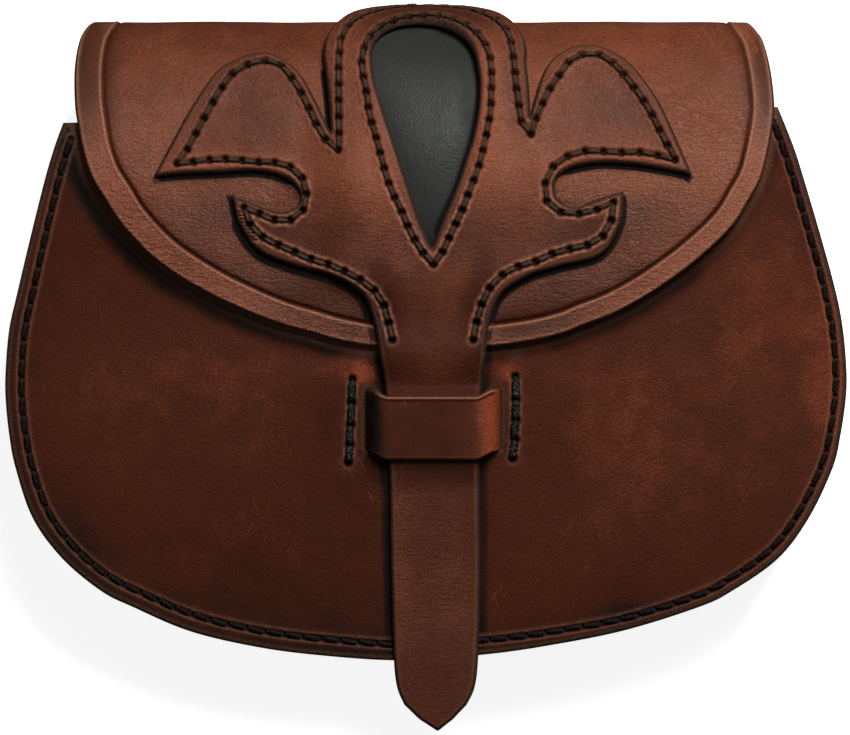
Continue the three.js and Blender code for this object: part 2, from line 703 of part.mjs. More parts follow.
function overlay(window) {
  return leatherSheet("applique_strap", {
    rings: [overlayRing(), window],
    bends: overlayBends(),
    stops: [-LIFT.half - LIFT.fade, -LIFT.half, LIFT.half, LIFT.half + LIFT.fade],
    thickness: LEATHER.overlay,
    place: (x, y, depth) => {
      const point = overlayPoint(x, y, depth);
      return [x, point.y, point.z];
    },
    look: { color: 0x642e1b, roughness: 0.42, metalness: 0 },
  });
}

function inlay(window) {
  return leatherSheet("inlay", {
    rings: [onRows(offsetRing(window, INLAY_MARGIN))],
    bends: overlayBends(),
    thickness: LEATHER.inlay,
    place: (x, y, depth) => {
      const point = foldedPoint(y, GAP + depth);
      return [x, point.y, point.z];
    },
    look: { color: 0x171a19, roughness: 0.4, metalness: 0 },
  });
}

// ---- keeper and belt loops ------------------------------------------------------------------

function keeper() {
  const thick = LEATHER.keeper;
  const panel = panelFace(0, (KEEPER.top + KEEPER.bottom) / 2);
  const top = panel + LEATHER.overlay + 2 * GAP + thick / 2 + KEEPER_SLACK.over;
  const tab = panel - LEATHER.front - GAP - thick / 2 - KEEPER_SLACK.under;
  const line = roundedLine([
    { at: [SLIT.left - KEEPER.tab, tab] },
    { at: [SLIT.left, tab], round: KEEPER.roundTab },
    { at: [SLIT.left, top], round: KEEPER.roundTop },
    { at: [SLIT.right, top], round: KEEPER.roundTop },
    { at: [SLIT.right, tab], round: KEEPER.roundTab },
    { at: [SLIT.right + KEEPER.tab, tab] },
  ]);
  const band = bentBand("keeper", {
    line,
    thickness: thick,
    width: KEEPER.top - KEEPER.bottom,
    look: { color: 0x552416, roughness: 0.42, metalness: 0 },
  });
  band.rotation.x = Math.PI / 2;
  band.position.y = KEEPER.top;
  return band;
}

function beltLoop(name, x) {
  const thick = LEATHER.loop;
  const foot = BACK_FACE - GAP - thick / 2;
  const { low, high, round } = BELT_LOOP;
  const line = roundedLine([
    { at: [low - BELT_LOOP.foot, foot] },
    { at: [low, foot], round: LOOP_BEND },
    { at: [low + round, thick / 2], round: LOOP_BEND },
    { at: [high - round, thick / 2], round: LOOP_BEND },
    { at: [high, foot], round: LOOP_BEND },
    { at: [high + BELT_LOOP.foot, foot] },
  ]);
  const loop = bentBand(name, {
    line,
    thickness: thick,
    width: BELT_LOOP.width,
    look: { color: 0x4a2014, roughness: 0.55, metalness: 0 },
  });
  loop.rotation.set(Math.PI / 2, Math.PI / 2, 0);
  loop.position.x = x - BELT_LOOP.width / 2;
  return loop;
}

// ---- the bag --------------------------------------------------------------------------------

function beltBag() {
  const window = windowRing();
  const bag = new THREE.Group();
  bag.name = "belt_bag";
  bag.add(
    frontPanel(),
    gusset(),
    backAndFlap(),
    inlay(window),
    overlay(window),
    keeper(),
    beltLoop("belt_loop_left", -BELT_LOOP.across),
    beltLoop("belt_loop_right", BELT_LOOP.across),
  );
  bag.updateMatrixWorld(true);
  const box = new THREE.Box3().setFromObject(bag, true);
  const centre = box.getCenter(new THREE.Vector3());
  bag.position.set(-centre.x, -centre.y, -box.min.z);
  return bag;
}

export default beltBag();
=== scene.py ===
"""Dresses a belt bag of stiff brown leather, sewn with black waxed thread.

The bag lies on its back on a pale table. Its drawing is in millimetres: x runs across the bag, up
runs towards its fold, and height stands away from a sheet's under face. Meshes are in metres, in
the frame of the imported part.
"""

import logging
import math
from dataclasses import dataclass, field
from enum import Enum

import bpy
import numpy as np
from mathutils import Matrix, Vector
from mathutils.geometry import delaunay_2d_cdt
from mathutils.kdtree import KDTree


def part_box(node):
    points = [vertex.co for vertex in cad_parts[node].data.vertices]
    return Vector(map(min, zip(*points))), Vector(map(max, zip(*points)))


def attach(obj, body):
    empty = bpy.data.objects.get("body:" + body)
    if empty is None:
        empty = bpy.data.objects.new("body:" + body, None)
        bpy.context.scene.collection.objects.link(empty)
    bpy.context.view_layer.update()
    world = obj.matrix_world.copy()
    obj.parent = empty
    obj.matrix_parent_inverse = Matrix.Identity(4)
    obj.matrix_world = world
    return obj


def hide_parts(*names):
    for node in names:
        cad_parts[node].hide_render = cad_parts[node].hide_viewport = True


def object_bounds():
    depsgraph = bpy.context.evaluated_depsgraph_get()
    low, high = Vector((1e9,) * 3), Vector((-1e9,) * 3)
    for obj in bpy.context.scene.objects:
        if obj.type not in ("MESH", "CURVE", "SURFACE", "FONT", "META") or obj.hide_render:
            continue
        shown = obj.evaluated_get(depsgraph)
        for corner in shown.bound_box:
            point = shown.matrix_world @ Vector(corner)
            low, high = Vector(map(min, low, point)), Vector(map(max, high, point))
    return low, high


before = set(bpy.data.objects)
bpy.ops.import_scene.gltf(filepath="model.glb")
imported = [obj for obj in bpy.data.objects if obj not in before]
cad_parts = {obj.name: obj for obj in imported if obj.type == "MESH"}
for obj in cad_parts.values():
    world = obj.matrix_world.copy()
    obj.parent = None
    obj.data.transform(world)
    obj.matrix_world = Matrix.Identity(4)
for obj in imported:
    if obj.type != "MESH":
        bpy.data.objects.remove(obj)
CAD_BOX = [list(corner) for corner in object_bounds()]

METRES = 0.001
GAP = 0.3
BODY = "root"
log = logging.getLogger("belt_bag")


# ---- lines and rings of the flat patterns


def eased(value: np.ndarray, low: float, high: float) -> np.ndarray:
    """Rises smoothly from 0 at low to 1 at high, for each value."""
    share = np.clip((value - low) / (high - low), 0.0, 1.0)
    return share * share * (3.0 - 2.0 * share)


def runs_of(line: np.ndarray) -> np.ndarray:
    """Length of a line of points up to each of them."""
    return np.concatenate([[0.0], np.cumsum(np.linalg.norm(np.diff(line, axis=0), axis=1))])


def spaced(line: np.ndarray, step: float) -> np.ndarray:
    """Walks along a line of points in equal steps, from its first point to its last.

    Args:
        line: Points of the line, one a row.
        step: Wished length of a step.

    Returns:
        Points at equal distances along the line.
    """
    run = runs_of(line)
    count = max(round(run[-1] / step), 1)
    along = np.linspace(0.0, run[-1], count + 1)
    return np.column_stack([np.interp(along, run, column) for column in line.T])


def smooth_line(points: list, step: float) -> np.ndarray:
    """Draws a smooth line through a few points.

    Args:
        points: The points that the line passes through.
        step: Distance between the points given back.

    Returns:
        Closely spaced points of the line.
    """
    knots = np.array(points, float)
    padded = np.vstack([knots[:1], knots, knots[-1:]])
    shares = np.linspace(0.0, 1.0, 16, endpoint=False)[:, None]
    spans = []
    for before, start, end, after in zip(padded, padded[1:], padded[2:], padded[3:]):
        leave, arrive = (end - before) / 2.0, (after - start) / 2.0
        cubic = 2.0 * (start - end) + leave + arrive
        square = 3.0 * (end - start) - 2.0 * leave - arrive
        spans.append(((cubic * shares + square) * shares + leave) * shares + start)
    return spaced(np.vstack([*spans, knots[-1:]]), step)


def joined(runs: list[np.ndarray]) -> np.ndarray:
    """Joins runs, each of which starts where the one before it ends, into one closed ring."""
    return np.vstack([run[:-1] for run in runs])


def ring_area(ring: np.ndarray) -> float:
    """Area inside a ring, positive where it runs anticlockwise."""
    after = np.roll(ring, -1, axis=0)
    return float(np.sum(ring[:, 0] * after[:, 1] - after[:, 0] * ring[:, 1]) / 2.0)


def unit(vectors: np.ndarray) -> np.ndarray:
    """Brings vectors to length 1."""
    return vectors / np.maximum(np.linalg.norm(vectors, axis=-1, keepdims=True), 1e-9)


def left_of(steps: np.ndarray) -> np.ndarray:
    """Unit vectors that point to the left of flat steps."""
    return unit(np.column_stack([-steps[:, 1], steps[:, 0]]))


def left_normals(line: np.ndarray, closed: bool) -> np.ndarray:
    """Unit vectors that point to the left of a line or closed ring."""
    if closed:
        return left_of(np.roll(line, -1, axis=0) - np.roll(line, 1, axis=0))
    return left_of(np.gradient(line, axis=0))


def turned(vector: np.ndarray, angle: float) -> np.ndarray:
    """Turns a flat vector anticlockwise by an angle in radians."""
    cosine, sine = math.cos(angle), math.sin(angle)
    return np.array([vector[0] * cosine - vector[1] * sine, vector[0] * sine + vector[1] * cosine])


def nearest_on(points: np.ndarray, starts: np.ndarray, ends: np.ndarray) -> tuple:
    """Finds how far points lie from a set of straight steps.

    Args:
        points: Places in the flat pattern.
        starts: Where each step starts.
        ends: Where each step ends.

    Returns:
        The distance to the nearest step, and the side it is on: positive to its left.
    """
    steps = ends - starts
    lengths = np.maximum((steps**2).sum(1), 1e-12)
    distance, side = np.empty(len(points)), np.empty(len(points))
    for first in range(0, len(points), 1500):
        away = points[first : first + 1500, None] - starts[None]
        share = np.clip((away * steps).sum(2) / lengths, 0.0, 1.0)
        gap = np.linalg.norm(away - share[..., None] * steps, axis=2)
        best = gap.argmin(1)
        rows = np.arange(len(best))
        across = steps[best, 0] * away[rows, best, 1] - steps[best, 1] * away[rows, best, 0]
        distance[first : first + 1500] = gap[rows, best]
        side[first : first + 1500] = np.sign(across)
    return distance, side


def grown(flat: np.ndarray, stations: tuple | None, least: float) -> np.ndarray:
    """How strongly a mark shows where it grows to full between two stations."""
    if stations is None:
        return np.ones(len(flat))
    return least + (1.0 - least) * eased(flat[:, 1], *stations)


def ring_walls(rows: int, sides: int) -> np.ndarray:
    """Joins rings of points, each laid after the one before it, by faces.

    Args:
        rows: Number of rings.
        sides: Points of a ring.

    Returns:
        The faces, each of four points.
    """
    here = sides * np.arange(rows - 1)[:, None]
    side = np.arange(sides)
    near, after = here + side, here + (side + 1) % sides
    return np.stack([near, near + sides, after + sides, after], axis=2).reshape(-1, 4)


def is_inside(points: np.ndarray, rings: list[np.ndarray]) -> np.ndarray:
    """Tells which points lie inside an edge and outside its openings.

    Args:
        points: Places in the flat pattern.
        rings: The edge and the openings, each a closed ring.

    Returns:
        True or False for each point.
    """
    crossings = np.zeros(len(points), int)
    for ring in rings:
        after = np.roll(ring, -1, axis=0)
        for (x0, y0), (x1, y1) in zip(ring, after):
            if y0 == y1:
                continue
            between = (points[:, 1] >= min(y0, y1)) & (points[:, 1] < max(y0, y1))
            at = x0 + (points[:, 1] - y0) * (x1 - x0) / (y1 - y0)
            crossings += between & (at < points[:, 0])
    return crossings % 2 == 1


def apart(points: np.ndarray, taken: np.ndarray, clearance: float) -> np.ndarray:
    """Keeps the points that are clear of those already taken and of each other.

    Args:
        points: Candidates.
        taken: Points that already have their place.
        clearance: Smallest distance kept to a taken point.

    Returns:
        The candidates that were kept.
    """
    tree = KDTree(len(taken))
    for index, (x, y) in enumerate(taken):
        tree.insert((x, y, 0.0), index)
    tree.balance()
    kept, cells = [], set()
    for x, y in points:
        cell = (round(x / clearance), round(y / clearance))
        if cell not in cells and tree.find((x, y, 0.0))[2] > clearance:
            cells.add(cell)
            kept.append((x, y))
    return np.array(kept).reshape(-1, 2)


# ---- how the sheets are bent


class FoldedSurface:
    """The back panel's outer face, the flap's fold and the flap, as one bent face.

    In its flat pattern, station 0 is where the fold begins at the back; it grows over the fold and
    down the flap, and is negative on the back panel. The section is a quarter of an ellipse behind
    the fold's top, and before it a fuller curve that flattens slowly down the flap.
    """

    back_face = 8.0
    bend_up = 65.8
    top_up = 86.8
    top_depth = 27.0
    flat_up = 5.0
    flat_depth = 51.8
    fullness = 3.9
    far = 200.0
    top = 119

    def __init__(self) -> None:
        """Measures the section once."""
        turn = np.linspace(0.0, math.pi / 2.0, self.top + 1)
        up = self.bend_up + (self.top_up - self.bend_up) * np.sin(turn)
        depth = self.top_depth - (self.top_depth - self.back_face) * np.cos(turn)
        behind = np.column_stack([up, depth])
        share = 1.0 - np.linspace(0.0, 1.0, 500)[1:] ** 2
        up = self.flat_up + (self.top_up - self.flat_up) * share
        rise = np.sqrt(1.0 - share**self.fullness)
        depth = self.top_depth + (self.flat_depth - self.top_depth) * rise
        line = np.vstack([behind, np.column_stack([up, depth])])
        run = runs_of(line)
        forward = unit(np.gradient(line, run, axis=0))
        foot = line[:1] - [[self.far, 0.0]]
        hem = line[-1:] - [[self.far, 0.0]]
        self.line = np.vstack([foot, line, hem])
        self.run = np.concatenate([[-self.far], run, [run[-1] + self.far]])
        normals = np.column_stack([forward[:, 1], -forward[:, 0]])
        self.normals = np.vstack([[[0.0, -1.0]], normals, [[0.0, 1.0]]])

    @property
    def length(self) -> float:
        """Station at which the flap has turned nearly flat."""
        return self.turn_station(20.0)

    def place(self, flat: np.ndarray, height: np.ndarray) -> np.ndarray:
        """Bends pattern points into place.

        Args:
            flat: Points of the pattern, as x and station.
            height: How far each stands out of the face.

        Returns:
            Places in the drawing, as x, up and depth.
        """
        x, station = flat.T
        up, depth = (
            np.interp(station, self.run, self.line[:, column])
            + height * np.interp(station, self.run, self.normals[:, column])
            for column in (0, 1)
        )
        return np.column_stack([x, up, depth])

    def station_of(self, up: np.ndarray, height: np.ndarray) -> np.ndarray:
        """Finds the station of places on the flap, seen from the front.

        Args:
            up: Heights up the bag.
            height: How far each place stands out of the face.

        Returns:
            The station of each.
        """
        ups, runs = self.line[self.top :, 0][::-1], self.run[self.top :][::-1]
        station = np.interp(up, ups, runs)
        for _ in range(24):
            lean = np.interp(station, self.run, self.normals[:, 0])
            station = np.interp(up - height * lean, ups, runs)
        return station

    def turn_station(self, turn: float) -> float:
        """Station where the face is turned by an angle in degrees from facing the front."""
        turns = np.degrees(np.arctan2(self.normals[:, 0], self.normals[:, 1]))
        return float(np.interp(-turn, -turns[1:], self.run[1:]))


FOLD = FoldedSurface()


class BodyShape:
    """The outline that the front panel, the gusset and the back panel share."""

    left_corner = (-90.8, 60.9)
    right_corner = (87.8, 64.9)
    bottom = (-6.5, -73.4)
    # Each row: height, left edge, right edge.
    rows = (
        (54.9, -93.0, 91.8), (46.4, -95.5, 94.5), (31.1, -99.3, 99.0), (18.4, -102.3, 102.4),
        (9.4, -104.3, 104.1), (-0.9, -105.2, 105.0), (-8.1, -105.2, 104.8), (-17.1, -104.3, 103.5),
        (-25.4, -102.7, 101.5), (-37.9, -98.4, 95.5), (-48.0, -91.0, 87.8), (-56.1, -81.3, 76.3),
        (-60.1, -73.3, 68.0), (-65.9, -59.8, 49.5), (-69.6, -44.8, 31.0), (-71.9, -29.0, 14.8),
    )

    def __init__(self) -> None:
        """Draws the outline from the left corner round the bottom to the right corner."""
        left = [(west, up) for up, west, _ in self.rows]
        right = [(east, up) for up, _, east in reversed(self.rows)]
        knots = [self.left_corner, *left, self.bottom, *right, self.right_corner]
        self.curve = smooth_line(knots, 0.5)

    def span(self, up: np.ndarray) -> tuple:
        """Finds the body's middle and half its width.

        Args:
            up: Heights up the bag.

        Returns:
            The middle and half the width at each height.
        """
        lowest = self.curve[:, 1].argmin()
        height = np.clip(up, self.curve[lowest, 1] + 0.1, self.left_corner[1])
        fall, climb = self.curve[: lowest + 1][::-1], self.curve[lowest:]
        west = np.interp(height, fall[:, 1], fall[:, 0])
        east = np.interp(height, climb[:, 1], climb[:, 0])
        return (west + east) / 2.0, (east - west) / 2.0

    def seam_line(self, step: float) -> np.ndarray:
        """Draws the line of the seam, further from the edge on the left than on the right.

        Args:
            step: Length of a stitch.

        Returns:
            The holes of the seam, from the left corner to the right one.
        """
        line = spaced(self.curve, 1.0)
        share = np.linspace(0.0, 1.0, len(line))
        inset = np.interp(share, [0.0, 0.15, 0.45, 0.62, 1.0], [3.2, 4.0, 4.2, 2.9, 2.5])
        seam = line + left_normals(line, closed=False) * inset[:, None]
        return spaced(seam[3:-3], step)


SHAPE = BodyShape()


@dataclass(frozen=True)
class PanelSurface:
    """The front panel's outer face: flat at the seam and domed inside it."""

    seam_face: float = 44.8
    margin: float = 6.0
    bulge: float = 3.2
    bulge_up: float = -8.0
    mouth: float = 0.95

    def face(self, x: np.ndarray, up: np.ndarray) -> np.ndarray:
        """Height of the outer face above the table.

        Args:
            x: Places across the bag.
            up: Places up the bag.

        Returns:
            The height at each place.
        """
        middle, half = SHAPE.span(up)
        across = np.clip(np.abs(x - middle) / np.maximum(half - self.margin, 1.0), 0.0, 1.0)
        foot, head = SHAPE.bottom[1], SHAPE.left_corner[1]
        below = (self.bulge_up - up) / (self.bulge_up - foot - self.margin)
        above = self.mouth * (up - self.bulge_up) / (head - self.bulge_up)
        along = np.clip(np.maximum(below, above), 0.0, 1.0)
        return self.seam_face + self.bulge * ((1.0 - across**2) * (1.0 - along**2)) ** 1.5

    def place(self, flat: np.ndarray, height: np.ndarray) -> np.ndarray:
        """Sets pattern points in place; height 0 is the outer face."""
        return np.column_stack([flat, self.face(*flat.T) + height])


PANEL = PanelSurface()


@dataclass(frozen=True)
class OverlaySurface:
    """The overlay's under face: on the flap, over the inlay, and down on the front panel."""

    thickness: float = 2.7
    rise: float = 1.6
    half: float = 17.0
    fade: float = 14.0
    tail: float = 23.5
    step_from: float = 4.4
    step_to: float = -5.0
    strap_x: float = 1.8

    @property
    def strap_start(self) -> float:
        """Station at which the strap leaves the flap."""
        return float(FOLD.station_of(self.step_from, GAP))

    @property
    def start(self) -> np.ndarray:
        """Place where the strap leaves the flap."""
        return FOLD.place(np.array([[0.0, self.strap_start]]), np.array([GAP]))[0]

    def lift(self, x: np.ndarray, station: np.ndarray) -> np.ndarray:
        """How far the overlay is raised by the inlay under it.

        Args:
            x: Places across the bag.
            station: Stations down the flap.

        Returns:
            The raise at each place.
        """
        flat = np.column_stack([x, np.minimum(station, self.strap_start)])
        up = FOLD.place(flat, np.zeros(len(flat)))[:, 1]
        side = 1.0 - eased(np.abs(x), self.half, self.half + self.fade)
        tail = np.where(station < FOLD.length, 1.0, eased(up, self.tail - self.fade, self.tail))
        return self.rise * side * tail

    def strap_under(self, up: np.ndarray) -> np.ndarray:
        """Height of the strap's under face above the table."""
        panel = PANEL.face(np.full_like(up, self.strap_x), up) + GAP
        return panel + (self.start[2] - panel) * eased(up, self.step_to, self.step_from)

    def place(self, flat: np.ndarray, height: np.ndarray) -> np.ndarray:
        """Bends pattern points into place.

        Args:
            flat: Points of the pattern, as x and station.
            height: How far each stands above the under face.

        Returns:
            Places in the drawing, as x, up and depth.
        """
        x, station = flat.T
        on_flap = FOLD.place(flat, GAP + self.lift(x, station) + height)
        up = self.start[1] - (station - self.strap_start)
        tilt = np.arctan((self.strap_under(up - 0.1) - self.strap_under(up + 0.1)) / 0.2)
        rise = self.strap_under(up) + height * np.cos(tilt)
        on_panel = np.column_stack([x, up + height * np.sin(tilt), rise])
        return np.where((station <= self.strap_start)[:, None], on_flap, on_panel)

    def develop(self, places: list) -> np.ndarray:
        """Flattens places on the overlay's top face.

        Args:
            places: Places seen from the front, as x and height up the bag.

        Returns:
            Points of the flat pattern.
        """
        x, up = np.array(places, float).T
        flush = FOLD.station_of(up, GAP + self.thickness)
        raised = GAP + self.thickness + self.lift(x, flush)
        on_flap = FOLD.station_of(up, raised)
        on_strap = self.strap_start + self.start[1] - up
        return np.column_stack([x, np.where(flush > self.strap_start, on_strap, on_flap)])


OVER = OverlaySurface()


@dataclass(frozen=True)
class BandSurface:
    """A band of leather bent along a line; its pattern is the length along it and its width.

    Args:
        line: Closely spaced points of the bent middle of the under face.
        across_up: Whether the band's width runs up the bag; if not, it runs across.
        centre: Middle of the band's width in the drawing.
        sway: How far the band's middle is dragged along its width, at each point of the line.
    """

    line: np.ndarray
    across_up: bool
    centre: float
    sway: np.ndarray

    def place(self, flat: np.ndarray, height: np.ndarray) -> np.ndarray:
        """Bends pattern points into place.

        Args:
            flat: Points of the pattern: length along the band, and place across its width.
            height: How far each stands out of the under face.

        Returns:
            Places in the drawing, as x, up and depth.
        """
        run = runs_of(self.line)
        normals = left_normals(self.line, closed=False)
        along, across = flat.T
        first, second = (
            np.interp(along, run, self.line[:, column])
            + height * np.interp(along, run, normals[:, column])
            for column in (0, 1)
        )
        width = self.centre + across + np.interp(along, run, self.sway)
        columns = [first, width, second] if self.across_up else [width, first, second]
        return np.column_stack(columns)


def rounded_corners(corners: list) -> np.ndarray:
    """Draws a line through corners, each rounded by its own radius.

    Args:
        corners: Rows of x, y and radius.

    Returns:
        Points of the line.
    """
    degrees = 12.0
    points = []
    for index, (x, y, radius) in enumerate(corners):
        here = np.array([x, y])
        if radius == 0.0:
            points.append(here)
            continue
        into = unit(here - corners[index - 1][:2])
        out = unit(np.array(corners[index + 1][:2]) - here)
        turn = math.atan2(into[0] * out[1] - into[1] * out[0], float(into @ out))
        start = here - into * radius * math.tan(abs(turn) / 2.0)
        side = np.array([-into[1], into[0]]) * math.copysign(radius, turn)
        steps = max(math.ceil(abs(turn) / math.radians(degrees)), 1)
        for angle in np.linspace(0.0, turn, steps + 1):
            points.append(start + side - turned(side, angle))
    return np.array(points)


# ---- marks worked into a sheet's face


class Mark(Enum):
    """What a point of a leather mesh remembers for its finish, each from 0 to 1. The hole mark
    paints holes near black, a painted shade; the mark of chafing and highlights paints chafing with
    painted highlights; the pressed mark darkens pressed leather and paints shade between a thread's
    plies; the flesh mark is the flesh side and a painted paler fill in shadows; the shade mark is
    the dye's depth with painted shade and painted light.
    """

    WEAR_AND_HIGHLIGHT = "worn"
    HOLE_SHADE = "hole"
    PRESSED_AND_CREVICE_SHADE = "pressed"
    FLESH_AND_PAINTED_FILL = "flesh"
    CUT = "cut"
    SHADE = "shade"


@dataclass
class Seam:
    """Stitch holes in a row, each pair of neighbours joined by a thread that lies in a bed.

    Args:
        runs: Rows of holes in the flat pattern.
        closed: Whether each row's last hole joins its first.
        hole: Radius of an awl hole.
        depth: Depth of an awl hole.
        bed: Depth of the bed pressed by the thread.
        pale_shoulders: How pale the leather puffed up beside the stitches is painted, from 0 to 1:
            chafing with a painted highlight on the puffed shoulders.
        grows: Stations between which that paleness grows to full.
    """

    runs: list[np.ndarray]
    closed: bool = False
    hole: float = 0.5
    depth: float = 0.9
    bed: float = 0.45
    pale_shoulders: float = 1.0
    grows: tuple | None = None

    def stitches(self) -> tuple:
        """Lists where each stitch starts and ends.

        Returns:
            The first and the second hole of each stitch.
        """
        starts = [run if self.closed else run[:-1] for run in self.runs]
        ends = [np.roll(run, -1, axis=0) if self.closed else run[1:] for run in self.runs]
        return np.vstack(starts), np.vstack(ends)

    def holes(self) -> np.ndarray:
        """All holes, one a row."""
        return np.vstack(self.runs)

    def seeds(self) -> np.ndarray:
        """Places where the sheet needs mesh points to show the seam.

        Returns:
            Points of the flat pattern.
        """
        holes = self.holes()
        seeds = [holes]
        for reach, count in ((0.7, 6), (1.25, 9), (1.8, 11), (2.6, 12)):
            turns = np.linspace(0.0, 2.0 * math.pi, count, endpoint=False) + reach
            ring = self.hole * reach * np.column_stack([np.cos(turns), np.sin(turns)])
            seeds.append((holes[:, None] + ring[None]).reshape(-1, 2))
        starts, ends = self.stitches()
        along, across = ends - starts, left_of(ends - starts)
        for side in (0.0, 0.4, -0.4, 0.8, -0.8, 1.2, -1.2, 1.65, -1.65, 2.2, -2.2):
            for share in np.linspace(0.08, 0.92, 7):
                seeds.append(starts + along * share + across * side)
        return np.vstack(seeds)

    def shape(self, flat: np.ndarray) -> tuple:
        """Presses the seam into a face.

        Args:
            flat: Points of the pattern.

        Returns:
            The height added at each point, and the marks left there.
        """
        holes = self.holes()
        to_hole, _ = nearest_on(flat, holes, holes)
        to_thread, _ = nearest_on(flat, *self.stitches())
        pit = 1.0 - eased(to_hole, 0.75 * self.hole, 1.4 * self.hole)
        rim = np.exp(-(((to_hole - 2.0 * self.hole) / (0.5 * self.hole)) ** 2))
        bed = 1.0 - eased(to_thread, 0.35, 0.85)
        puffed = eased(to_hole, 1.2 * self.hole, 2.4 * self.hole)
        scallop = 0.92 + 0.4 * puffed
        shoulder = np.exp(-(((to_thread - scallop) / 0.3) ** 2)) * (0.25 + 0.75 * puffed)
        height = 0.05 * rim + 0.29 * shoulder - self.bed * bed - self.depth * pit
        height -= 0.16 * np.exp(-((to_thread / 2.2) ** 2))
        worn = np.clip(0.3 * rim + 1.05 * shoulder**1.6, 0.0, 1.0) * (1.0 - pit)
        worn *= grown(flat, self.grows, 0.2)
        # Holes are marked for painted shade; shoulders and rims are marked pale, chafing with
        # painted highlights.
        return height, {
            Mark.HOLE_SHADE: np.clip(1.15 * pit, 0.0, 1.0),
            Mark.PRESSED_AND_CREVICE_SHADE: 0.4 * (1.0 - eased(to_thread, 0.4, 1.0)),
            Mark.WEAR_AND_HIGHLIGHT: self.pale_shoulders * worn,
        }


@dataclass
class Crease:
    """A line creased beside an edge: a groove with a raised lip on its left, outer side.

    Args:
        line: Points of the line in the flat pattern.
        depth: Depth of the groove.
        width: Half the groove's width.
        ridge: Height of the lip.
        paler: How much thinner the dye is between the lip and the edge, and how much painted shade
            darkens the slope inside the groove.
        grows: Stations between which the line grows to full.
    """

    line: np.ndarray
    depth: float = 0.7
    width: float = 0.44
    ridge: float = 0.5
    paler: float = 0.32
    grows: tuple | None = None

    def seeds(self) -> np.ndarray:
        """Places where the sheet needs mesh points to show the crease.

        Returns:
            Points of the flat pattern.
        """
        normals = left_normals(self.line, closed=False)
        reaches = (-2.2, -1.3, -0.8, -0.5, -0.25, 0.0, 0.25, 0.5, 0.75, 1.0, 1.3, 1.8, 2.6)
        return np.vstack([self.line + normals * reach for reach in reaches])

    def shape(self, flat: np.ndarray) -> tuple:
        """Presses the crease into a face.

        Args:
            flat: Points of the pattern.

        Returns:
            The height added at each point, and the marks left there.
        """
        distance, side = nearest_on(flat, self.line[:-1], self.line[1:])
        offset = distance * side
        groove = np.exp(-((offset / self.width) ** 2))
        slope = np.where(offset < 0.0, np.exp(-((offset / (5.0 * self.width)) ** 2)), 0.0)
        lip = np.exp(-(((offset - 1.9 * self.width) / (0.8 * self.width)) ** 2))
        bank = np.where(offset > 0.0, np.exp(-((offset / (8.0 * self.width)) ** 2)), 0.0)
        height = self.ridge * (0.7 * lip + 0.3 * bank) - self.depth * (groove + 0.2 * slope)
        border = eased(offset, 0.3, 1.2) * (1.0 - eased(distance, 7.6, 9.0))
        strength = grown(flat, self.grows, 0.4)
        pressed = strength * np.exp(-(((offset + 0.1) / self.width) ** 2))
        # The lip is marked pale, chafing with a painted highlight; the slope inside the groove gets
        # painted shade.
        return strength * height, {
            Mark.PRESSED_AND_CREVICE_SHADE: np.clip(1.3 * pressed, 0.0, 1.0),
            Mark.WEAR_AND_HIGHLIGHT: np.clip(1.9 * strength * lip + 0.3 * self.paler * border, 0.0, 1.0),
            Mark.SHADE: self.paler * (0.5 * slope - border),
        }


@dataclass
class PaintedShadeBand:
    """A band of painted shadow along a line; with the flesh mark it is a painted paler fill that
    lightens a shadow.

    Args:
        line: The line.
        reach: How far it spreads.
        depth: How strongly it changes the colour.
        soft: Share of the reach over which it fades.
        mark: The mark it leaves.
    """

    line: np.ndarray
    reach: float
    depth: float
    soft: float = 0.6
    mark: Mark = Mark.SHADE

    def seeds(self) -> np.ndarray:
        """Places where the sheet needs mesh points to show the painted band.

        Returns:
            Points of the flat pattern.
        """
        normals = left_normals(self.line, closed=False)
        shares = (-1.15, -0.9, -0.65, -0.3, 0.0, 0.3, 0.65, 0.9, 1.15)
        return np.vstack([self.line + normals * self.reach * share for share in shares])

    def shape(self, flat: np.ndarray) -> tuple:
        """Paints shade, or with the flesh mark a paler fill, on a face along the line.

        Args:
            flat: Points of the pattern.

        Returns:
            No height, and the marks left at each point.
        """
        distance, _ = nearest_on(flat, self.line[:-1], self.line[1:])
        share = 1.0 - eased(distance, (1.0 - self.soft) * self.reach, self.reach)
        return np.zeros(len(flat)), {self.mark: self.depth * share}


